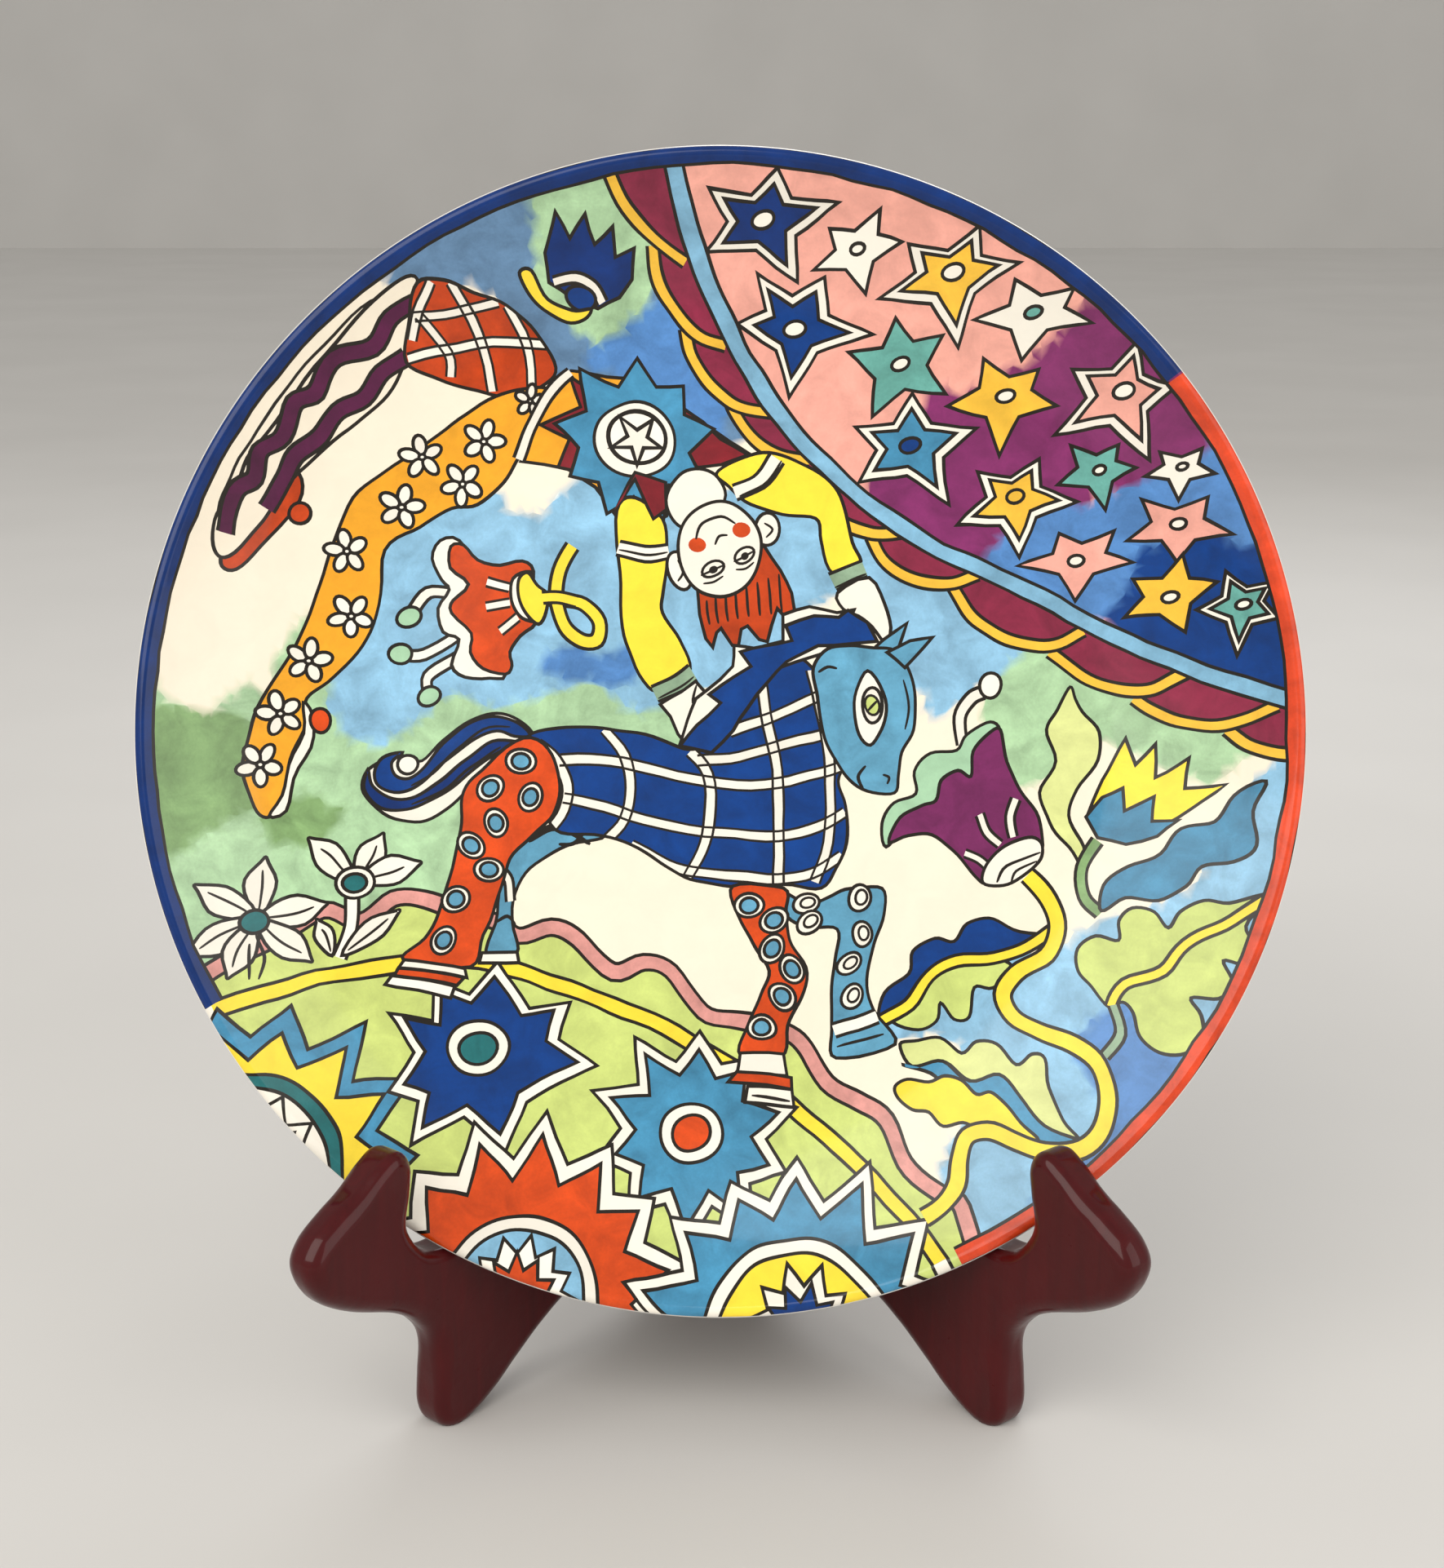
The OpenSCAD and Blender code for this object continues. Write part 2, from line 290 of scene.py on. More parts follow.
def brushed_brass(name, base, dark):
    brass = Finish(name)
    strokes = brass.clouds(700, 4, 0.6, 0, brass.stretched((1, 1, 0.06)))
    tarnish = brass.clouds(160, 4, 0.6)
    brass.feed(Base_Color=brass.ramp(tarnish, (0.35, dark), (0.6, base)),
               Roughness=brass.grey(strokes, 0.2, 0.45, 0.3, 0.7))
    brass.shader.inputs["Metallic"].default_value = 1
    brass.relief(strokes, 0.00004)
    return brass.material


def pale_floor():
    table = Finish("pale_floor", Roughness=0.75)
    table.feed(Base_Color=table.ramp(table.clouds(6, 2), (0.3, (0.62, 0.61, 0.59)),
                                     (0.7, (0.65, 0.64, 0.62))))
    return table.material


def give(piece, *finishes):
    piece.data.materials.clear()
    for finish in finishes:
        piece.data.materials.append(finish)


def add_floor():
    """A pale sheet that lies flat under the stand and sweeps up far behind it."""
    bpy.ops.mesh.primitive_plane_add(size=FLOOR_W, location=(0, 0, 0))
    floor = bpy.context.object
    floor.name = "floor"
    bpy.ops.object.mode_set(mode="EDIT")
    shape = bmesh.from_edit_mesh(floor.data)
    for edge in shape.edges:
        edge.select_set(all(v.co.y > 0 for v in edge.verts))
    bmesh.update_edit_mesh(floor.data)
    bpy.ops.mesh.extrude_edges_move(TRANSFORM_OT_translate={"value": FLOOR_RISE})
    bpy.ops.object.mode_set(mode="OBJECT")
    give(floor, pale_floor())


# ---------------------------------------------------------------- shaping

def pick(piece, spots):
    """Selects, in edit mode, the points of a piece that lie on the spots, and nothing else."""
    bpy.ops.mesh.select_all(action="DESELECT")
    finder = KDTree(len(spots))
    for number, spot in enumerate(spots):
        finder.insert(spot, number)
    finder.balance()
    shape = bmesh.from_edit_mesh(piece.data)
    for vertex in shape.verts:
        vertex.select_set(finder.find(vertex.co)[2] < 1e-7)
    shape.select_flush(True)
    bmesh.update_edit_mesh(piece.data)


def lofted(name, rings):
    """A circle is set on the first ring, extruded from ring to ring, and closed at both ends."""
    bpy.ops.object.select_all(action="DESELECT")
    bpy.ops.mesh.primitive_circle_add(vertices=len(rings[0]), fill_type="NOTHING")
    piece = bpy.context.object
    piece.name = piece.data.name = name
    for vertex, spot in zip(piece.data.vertices, rings[0]):
        vertex.co = spot
    bpy.ops.object.mode_set(mode="EDIT")
    bpy.ops.mesh.select_all(action="SELECT")
    for old, new in zip(rings, rings[1:]):
        bpy.ops.mesh.extrude_edges_indiv()
        finder = KDTree(len(old))
        for number, spot in enumerate(old):
            finder.insert(spot, number)
        finder.balance()
        shape = bmesh.from_edit_mesh(piece.data)
        for vertex in shape.verts:
            if vertex.select:
                vertex.co = new[finder.find(vertex.co)[1]]
        bmesh.update_edit_mesh(piece.data)
    bpy.ops.mesh.edge_face_add()
    pick(piece, rings[0])
    bpy.ops.mesh.edge_face_add()
    bpy.ops.mesh.select_all(action="SELECT")
    bpy.ops.mesh.normals_make_consistent(inside=False)
    bpy.ops.object.mode_set(mode="OBJECT")
    return piece


def apply_modifier(piece, kind, **settings):
    bpy.context.view_layer.objects.active = piece
    modifier = piece.modifiers.new(kind.lower(), kind)
    for name, value in settings.items():
        setattr(modifier, name, value)
    bpy.ops.object.modifier_apply(modifier=modifier.name)


def smoothed(piece, angle):
    """Soft shading with crisp edges past an angle, and flats that stay flat beside roundings."""
    bpy.ops.object.select_all(action="DESELECT")
    piece.select_set(True)
    bpy.context.view_layer.objects.active = piece
    bpy.ops.object.shade_smooth_by_angle(angle=math.radians(angle))
    apply_modifier(piece, "WEIGHTED_NORMAL", keep_sharp=True, weight=80)


def arc(centre, radius, start, end, steps):
    """Points of an arc in mm, between two angles in degrees."""
    for step in range(steps + 1):
        a = math.radians(start + (end - start) * step / steps)
        yield centre[0] + radius * math.cos(a), centre[1] + radius * math.sin(a)


# ---------------------------------------------------------------- the plate

FRONT_SLOPE = 2 * math.atan(RISE / (lip_circle - WELL_R))
FRONT_ARC = (lip_circle - WELL_R) / math.sin(FRONT_SLOPE) - LIP_R
BACK_SLOPE = 2 * math.atan((RISE + WALL - 2 * LIP_R) / (lip_circle - RING_R))
BACK_ARC = (lip_circle - RING_R) / math.sin(BACK_SLOPE) + LIP_R
BACK_W = -RISE - WALL
RING_BOTTOM = BACK_W - RING_H
BARE_H = 0.5
PLATE_STEPS = 256


def on_plate(across, up, out):
    """A point in metres, from mm across and up the plate's plan and out from its rim."""
    return Vector((across, PLATE_Y + up * math.sin(LEAN) - out * math.cos(LEAN),
                   PLATE_Z + up * math.cos(LEAN) + out * math.sin(LEAN))) * MM


def plate_section():
    """The plate's section from the well's middle over the lip and back to the foot ring."""
    yield from ((2, -RISE), (30, -RISE), (60, -RISE))
    front, back = math.degrees(FRONT_SLOPE), math.degrees(BACK_SLOPE)
    yield from arc((WELL_R, FRONT_ARC - RISE), FRONT_ARC, -90, front - 90, 30)
    yield from list(arc((lip_circle, -LIP_R), LIP_R, 90 + front, back - 90, 22))[1:]
    yield from list(arc((RING_R, BACK_W + BACK_ARC), BACK_ARC, back - 90, -90, 30))[1:-1]
    outer, inner = RING_R, RING_R - RING_W
    yield from arc((outer + 1, BACK_W - 1), 1, 90, 180, 4)
    yield from arc((outer - 0.8, RING_BOTTOM + 0.8), 0.8, 0, -90, 5)
    yield from arc((inner + 0.8, RING_BOTTOM + 0.8), 0.8, -90, -180, 5)
    yield from arc((inner - 1, BACK_W - 1), 1, 0, 90, 4)
    yield from ((60, BACK_W), (30, BACK_W), (2, BACK_W))


def build_plate():
    """The bare porcelain, turned from its section, with an unglazed foot ring."""
    turns = [2 * math.pi * step / PLATE_STEPS for step in range(PLATE_STEPS)]
    rings = [[on_plate(r * math.cos(a), r * math.sin(a), w) for a in turns]
             for r, w in plate_section()]
    plate = lofted("porcelain_plate", rings)
    give(plate, white_glaze(), bare_clay())
    centre = on_plate(0, 0, 0)
    outwards = (on_plate(0, 0, 1) - centre).normalized()
    for face in plate.data.polygons:
        depth = (face.center - centre).dot(outwards) / MM
        face.material_index = int(depth < RING_BOTTOM + BARE_H)
    smoothed(plate, 40)
    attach(plate, "plate")
    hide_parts("plate_body")


# ---------------------------------------------------------------- the painting

PAINTS = {
    "cream": (0.97, 0.93, 0.85), "white": (0.96, 0.94, 0.89), "ink": (0.12, 0.1, 0.07),
    "deep_blue": (0.0, 0.22, 0.5), "navy": (0.0, 0.17, 0.43), "blue": (0.32, 0.52, 0.76),
    "sky": (0.54, 0.73, 0.85), "dusk": (0.38, 0.52, 0.66), "teal_blue": (0.26, 0.54, 0.69),
    "pale_blue": (0.5, 0.7, 0.82), "wash_green": (0.66, 0.8, 0.63), "moss": (0.5, 0.64, 0.42),
    "mint": (0.64, 0.8, 0.66), "lime": (0.78, 0.84, 0.48), "pale_lime": (0.85, 0.88, 0.58),
    "pink": (0.93, 0.66, 0.6), "rose": (0.86, 0.6, 0.57), "purple": (0.48, 0.16, 0.38),
    "plum": (0.32, 0.07, 0.24), "maroon": (0.53, 0.15, 0.26), "crimson": (0.48, 0.1, 0.14),
    "gold": (0.94, 0.74, 0.24), "amber": (0.95, 0.66, 0.16), "yellow": (0.99, 0.87, 0.24),
    "red": (0.81, 0.28, 0.07), "rust": (0.74, 0.25, 0.06), "steel": (0.36, 0.6, 0.72),
    "sea": (0.4, 0.66, 0.62), "teal": (0.13, 0.43, 0.44), "sage": (0.55, 0.66, 0.55),
    "rim_blue": (0.0, 0.17, 0.42), "rim_red": (0.83, 0.27, 0.13),
}
# How strongly a paint is mottled, where it is less than fully
MOTTLING = {"cream": 0.1, "white": 0.1, "ink": 0.1, "yellow": 0.35, "lime": 0.6, "pink": 0.6,
            "pale_lime": 0.5, "amber": 0.5, "gold": 0.5, "mint": 0.5}
SHADE_SPREAD = 0.04

# The seed of the lines' wander and of the coats' shades
SEED = 7

# The painting, in mm: its pen's width, its edge, and the band round its rim
INK = 0.75
PAINT_R = 126.5
BAND_R = 124.8
BAND_W = 4

# The painting's mesh: hoops that hold it to the round lip, and the rings of points inside them
HOOPS = (123.8, 124.2, 124.5, 124.8, 125.1, 125.4, 125.7, 126, 126.25, PAINT_R)
HOOP_STEPS = 720
RING_GAP = 2.2
RING_COUNT = 56
RING_POINTS = 2.86
RING_TURN = 18
MERGE = 0.004
BATCH = 4000

# How far the painting stands off the glaze at a few distances from the middle, in mm
LIFT_AT = (0, 118, 124, PAINT_R)
LIFT = (0.14, 0.14, 0.09, 0.04)


def seen_as_light(colour):
    """A paint's colour as amounts of light."""
    return np.array([c / 12.92 if c < 0.04 else ((c + 0.055) / 1.055) ** 2.4 for c in colour])


def flowing(points, closed=True, steps=5):
    """A smooth line through a few given points."""
    p = np.array(points, float)
    count = len(p)
    line = []
    for i in range(count if closed else count - 1):
        near = [(i + k) % count if closed else min(max(i + k, 0), count - 1)
                for k in (-1, 0, 1, 2)]
        a, b, c, d = p[near]
        for s in np.arange(steps) / steps:
            line.append(b + (c - a) * s / 2 + (a - 2.5 * b + 2 * c - d / 2) * s * s
                        + (1.5 * b - a / 2 - 1.5 * c + d / 2) * s ** 3)
    if not closed:
        line.append(p[-1])
    return np.array(line)


def straight(points, closed=True, step=2.5):
    """The same points joined by straight lines, with more points set along them."""
    p = np.array(points, float)
    line = []
    for a, b in zip(p, np.roll(p, -1, 0) if closed else p[1:]):
        count = max(1, int(np.linalg.norm(b - a) / step))
        line.extend(a + (b - a) * k / count for k in range(count))
    if not closed:
        line.append(p[-1])
    return np.array(line)


def sideways(line, closed):
    """For each point of a line, the way to its right, longer at a corner as a mitre is."""
    if closed:
        before, after = line - np.roll(line, 1, 0), np.roll(line, -1, 0) - line
    else:
        step = np.diff(line, axis=0)
        before, after = np.vstack([step[:1], step]), np.vstack([step, step[-1:]])
    ways = []
    for way in (before, after):
        length = np.maximum(np.linalg.norm(way, axis=1, keepdims=True), 1e-9)
        ways.append(np.stack([way[:, 1], -way[:, 0]], 1) / length)
    both = ways[0] + ways[1]
    return 2 * both / np.maximum((both ** 2).sum(1, keepdims=True), 0.5)


def anticlockwise(line):
    x, y = line.T
    area = (x * np.roll(y, -1) - np.roll(x, -1) * y).sum()
    return line if area > 0 else line[::-1]


class Painting:
    """Flat coats of paint in mm on the plate's plan, the later ones over the earlier ones."""

    def __init__(self):
        self.coats = []

    def coat(self, outline, colour, soft=False, within=None):
        """One coat; within is the number of an earlier coat that it keeps inside."""
        self.coats.append((np.array(outline), colour, soft, within))

    def wash(self, colour, *points):
        """A soft-edged wash."""
        self.coat(straight(flowing(points, steps=4), step=1.6), colour, True)

    def filled(self, line, colour, ink=INK):
        """The inside of a closed line, with a pen line along it."""
        out = sideways(line, True) * ink / 2
        if ink:
            self.coat(line + out, "ink")
        self.coat(line - out, colour)

    def shape(self, colour, *points, curved=True, steps=5):
        self.filled(anticlockwise(flowing(points, steps=steps) if curved else straight(points)),
                    colour)

    def ribbon(self, colour, width, *points, curved=True, ink=INK):
        """A band of one width, with a pen line round it."""
        line = flowing(points, False) if curved else straight(points, False)
        side = sideways(line, False)
        for half, paint in ((width / 2 + ink / 2, "ink"), (width / 2 - ink / 2, colour)):
            self.coat(np.vstack([line + side * half, (line - side * half)[::-1]]), paint)

    def plaid(self, colour, width, lines):
        """Bands inside the last coat, with their pen lines crossing one another."""
        within = len(self.coats) - 1
        edges = []
        for points in lines:
            line = flowing(points, False, 4)
            way = sideways(line, False)
            for paint, left, right in ((colour, width / 2, -width / 2),
                                       ("ink", width / 2 + 0.25, width / 2 - 0.3),
                                       ("ink", 0.3 - width / 2, -width / 2 - 0.25)):
                edges.append((paint, np.vstack([line + way * left, (line + way * right)[::-1]])))
        for paint, edge in sorted(edges, key=lambda pair: pair[0] == "ink"):
            self.coat(edge, paint, within=within)

    def pen(self, *points, width=INK):
        """A pen line that thins towards its ends."""
        line = flowing(points, False)
        along = np.linspace(0, math.pi, len(line))[:, None]
        side = sideways(line, False) * width / 2 * (0.45 + 0.55 * np.sqrt(np.sin(along)))
        self.coat(np.vstack([line + side, (line - side)[::-1]]), "ink")

    def oval(self, colour, centre, radii, turn=0, ink=INK):
        count = max(10, int(2.5 * sum(radii)) + 8)
        a = np.arange(count) * 2 * math.pi / count
        t = math.radians(turn)
        x, y = radii[0] * np.cos(a), radii[1] * np.sin(a)
        line = np.stack([centre[0] + x * math.cos(t) - y * math.sin(t),
                         centre[1] + x * math.sin(t) + y * math.cos(t)], 1)
        self.filled(line, colour, ink)

    def burst(self, colour, centre, tip, valley, count, turn=0, ink=INK, uneven=0.06):
        """A zigzag ring of points, each a little longer or shorter than the next."""
        line = []
        for k in range(2 * count):
            a = math.radians(turn) + math.pi * k / count
            r = valley if k % 2 else tip * (1 + uneven * math.sin(2.4 * k + centre[0]))
            line.append((centre[0] + r * math.cos(a), centre[1] + r * math.sin(a)))
        self.filled(straight(line), colour, ink)

    def star(self, colour, centre, tips, border=None, hole="white"):
        """A star with given tips and a round hole, in a border or none."""
        middle, ends = np.array(centre, float), np.array(tips, float)
        for paint, size in ((border, 1), (colour, 0.7 if border else 1)):
            if paint:
                dips = (ends + np.roll(ends, -1, 0) - 2 * middle) * 0.31
                corners = np.stack([ends - middle, dips], 1).reshape(-1, 2)
                self.shape(paint, *(middle + corners * size), curved=False)
        reach = np.hypot(*(ends - middle).T).mean()
        self.oval(hole, centre, (0.17 * reach, 0.12 * reach), 15)


def paint_grounds(art):
    """The soft washes behind everything, from the upper left to the lower right."""
    art.wash("dusk", (-79, 104), (-70, 97), (-60, 99), (-49, 95), (-39, 85), (-36, 77), (-20, 76),
             (-6, 66), (6, 66), (10, 74), (2, 92), (-8, 108), (-14, 130), (-50, 122))
    art.wash("blue", (-26, 90), (-14, 96), (-5, 88), (2, 70), (-4, 68), (-16, 78), (-30, 82))
    art.wash("wash_green", (-37, 124), (-41, 110), (-40, 98), (-33, 90), (-27, 87), (-20, 92), (-14, 100),
             (-16, 112), (-20, 126))
    art.wash("wash_green", (-98, 18), (-84, 30), (-70, 8), (-50, 10), (-20, 10), (-4, 14), (-8, -2),
             (-40, -10), (-84, -12), (-98, -4))
    art.wash("sky", (-74, 46), (-62, 49), (-52, 54), (-46, 50), (-40, 49), (-34, 55), (-24, 58),
             (-16, 50), (-8, 14), (-18, 4), (-34, 0), (-60, -2), (-76, -3), (-86, 4), (-90, 14),
             (-82, 26))
    art.wash("wash_green", (-124, 8), (-118, 6), (-112, 4), (-104, 12), (-98, 6), (-88, 14), (-86, -2),
             (-80, -8), (-72, 0), (-60, 8), (-50, 6), (-40, 9), (-28, 10), (-16, 2), (-20, -8),
             (-50, -10), (-56, -30), (-60, -44), (-90, -46), (-116, -52), (-128, -30))
    art.wash("moss", (-125, 4), (-116, 5), (-106, 4), (-100, 0), (-100, -12), (-112, -22), (-121, -24))
    art.wash("moss", (-100, -17), (-92, -14), (-84, -18), (-90, -24), (-100, -24))
    art.wash("blue", (-34, 20), (-28, 17), (-22, 20), (-18, 14), (-24, 10), (-34, 12), (-40, 16))
    art.wash("sky", (-14, 50), (-4, 54), (14, 52), (34, 50), (46, 46), (60, 34), (72, 24), (70, 14),
             (58, 11), (48, 4), (44, 10), (38, 22), (24, 30), (4, 12), (-10, 14), (-14, 30))
    art.wash("wash_green", (72, 22), (84, 20), (100, 12), (118, 2), (116, -4), (108, -10), (96, -7),
             (86, -2), (76, -6), (68, -12), (62, -4), (58, 4), (62, 12))
    art.wash("sky", (36, -66), (44, -57), (58, -50), (74, -48), (84, -41), (96, -38), (104, -33),
             (110, -20), (116, -10), (130, -6), (130, -50), (100, -92), (60, -118), (46, -112), (50, -92),
             (56, -78), (50, -68))
    art.wash("blue", (78, -68), (92, -58), (102, -66), (110, -60), (96, -88), (76, -104), (70, -98),
             (84, -84))


def paint_hill(art):
    """The lime hill between a pink and a yellow line, with its lower ground."""
    crest = ((-118, -56), (-108, -50), (-98, -45), (-88, -39), (-80, -42), (-73, -37), (-66, -37),
             (-58, -40), (-50, -42), (-45, -45), (-38, -43), (-32, -46), (-24, -53), (-17, -51),
             (-11, -53), (-4, -62), (4, -64), (14, -66), (19, -70), (24, -78), (31, -82),
             (37, -86), (41, -95), (48, -101), (53, -104), (56, -116))
    art.coat(np.vstack([flowing(crest, False), [(52, -130), (-60, -150), (-140, -90)]]), "lime")
    art.ribbon("rose", 3.6, *crest)


def paint_yellow_line(art):
    """The yellow line over the hill, with a white end at each side."""
    art.ribbon("yellow", 3.4, (-111, -60), (-100, -57), (-86, -53.5), (-72, -51.5), (-56, -50.5),
               (-46, -52.5), (-36, -56), (-24, -60.5), (-10, -67), (0, -73), (12, -80), (22, -88),
               (32, -97), (41, -106), (48, -115))
    art.ribbon("white", 3.6, (-117, -63), (-110, -59.6), curved=False)
    art.ribbon("white", 3.6, (47.5, -114.5), (51.5, -122), curved=False)


def paint_sun(art, centre, *rings):
    """Rings from the outermost in: a circle's radius, or a burst's tip, valley, count and turn."""
    for colour, reach, *spikes in rings:
        if spikes:
            art.burst(colour, centre, reach, *spikes)
        else:
            art.oval(colour, centre, (reach, reach))


def paint_sun_flowers(art):
    """Five spiked suns along the bottom, each of rings round a middle of its own."""
    paint_sun(art, (-103, -95), ("teal_blue", 38, 29, 15, 4), ("yellow", 31.5, 24.5, 15, 4),
              ("teal", 21.4), ("white", 18.4), ("white", 17.2, 13.4, 13, 8, 0.7),
              ("yellow", 13.4, 10, 12, 8, 0.7))
    blue_sun = np.array(((-50.3, -54), (-55.6, -60), (-62, -57.6), (-62.4, -65), (-70.4, -63.4),
                         (-65.6, -70.8), (-70, -77.6), (-64.6, -79.4), (-65.6, -87),
                         (-56.4, -82.6), (-49, -88.6), (-45, -80), (-32, -73.4), (-39, -68.4),
                         (-37, -61.6), (-44.6, -62.6)))
    art.shape("white", *(blue_sun + (blue_sun - (-54, -70)) * 0.2), curved=False)
    art.shape("deep_blue", *blue_sun, curved=False)
    art.oval("white", (-54, -70), (6.6, 6.2))
    art.oval("teal", (-54, -70), (4.1, 3.6), 20)
    paint_sun(art, (-6, -89), ("white", 23.4, 16.4, 10, 14, INK, 0.08),
              ("teal_blue", 19.2, 13, 10, 14, INK, 0.08))
    art.oval("white", (-6.5, -89), (7, 6.6))
    art.oval("red", (-6.5, -89), (4.4, 4), 30)
    paint_sun(art, (-44, -123), ("white", 37.6, 29.4, 15, 10, INK, 0.05),
              ("red", 33, 24.6, 15, 10, INK, 0.05), ("white", 17.4), ("pale_blue", 14.6),
              ("white", 13, 9.6, 14, 2, 0.7), ("red", 9.4, 6.4, 12, 2, 0.7))
    paint_sun(art, (17, -132), ("white", 38, 29.4, 15, 18), ("teal_blue", 33.4, 25.4, 15, 18),
              ("white", 21), ("yellow", 18))
    paint_sun(art, (18, -129), ("white", 12.6, 8.6, 11, 6, INK, 0.08),
              ("deep_blue", 9, 5.8, 10, 6, 0.7))


def paint_leaf(art, colour, base, tip, width, vein=0.0):
    """A pointed leaf or petal from its base to its tip, with a vein up the middle."""
    a, b = np.array(base, float), np.array(tip, float)
    side = np.array([(b - a)[1], -(b - a)[0]])
    side = side / np.linalg.norm(side) * width / 2
    art.shape(colour, a, a + (b - a) * 0.3 + side * 0.8, a + (b - a) * 0.62 + side,
              b - (b - a) * 0.08 + side * 0.25, b, b - (b - a) * 0.08 - side * 0.25,
              a + (b - a) * 0.62 - side, a + (b - a) * 0.3 - side * 0.8, steps=3)
    if vein:
        art.pen(a + (b - a) * 0.1, (a + b) / 2 + side * 0.15, a + (b - a) * vein, width=0.6)


def paint_lilies(art):
    """Two white lilies on the left, with their leaves."""
    for tip in ((-100.5, -27), (-114.5, -33), (-87, -37.5), (-115.5, -48), (-107.5, -53.5),
                (-90, -50.5)):
        paint_leaf(art, "white", (-102, -41), tip, 6.4, 0.8)
    art.pen((-102, -44), (-100, -49), (-101, -54))
    art.pen((-103, -46), (-103, -50), (-103, -54))
    art.oval("teal", (-102.5, -41.5), (3.1, 2.4), 10)
    for tip in ((-91.5, -23), (-75, -22), (-67, -28.5)):
        paint_leaf(art, "white", (-81, -33), tip, 6.2, 0.75)
    art.ribbon("white", 2.8, (-82, -36), (-82, -43), (-84.5, -49.5))
    paint_leaf(art, "white", (-84, -49), (-71.5, -39.5), 4.6, 0.8)
    paint_leaf(art, "white", (-86, -49), (-89.5, -41), 4, 0.7)
    art.oval("white", (-81.3, -33), (4.1, 3.5))
    art.oval("teal", (-81.5, -33), (2.6, 2.1))


def paint_spots(art, spots, size=1.0):
    """White ovals with a blue middle, each turned its own way."""
    for number, spot in enumerate(spots):
        turn = 35 * number
        art.oval("white", spot, (3.3 * size, 2.6 * size), turn, 0.7)
        art.oval("steel", spot, (2 * size, 1.7 * size), turn, 0.7)


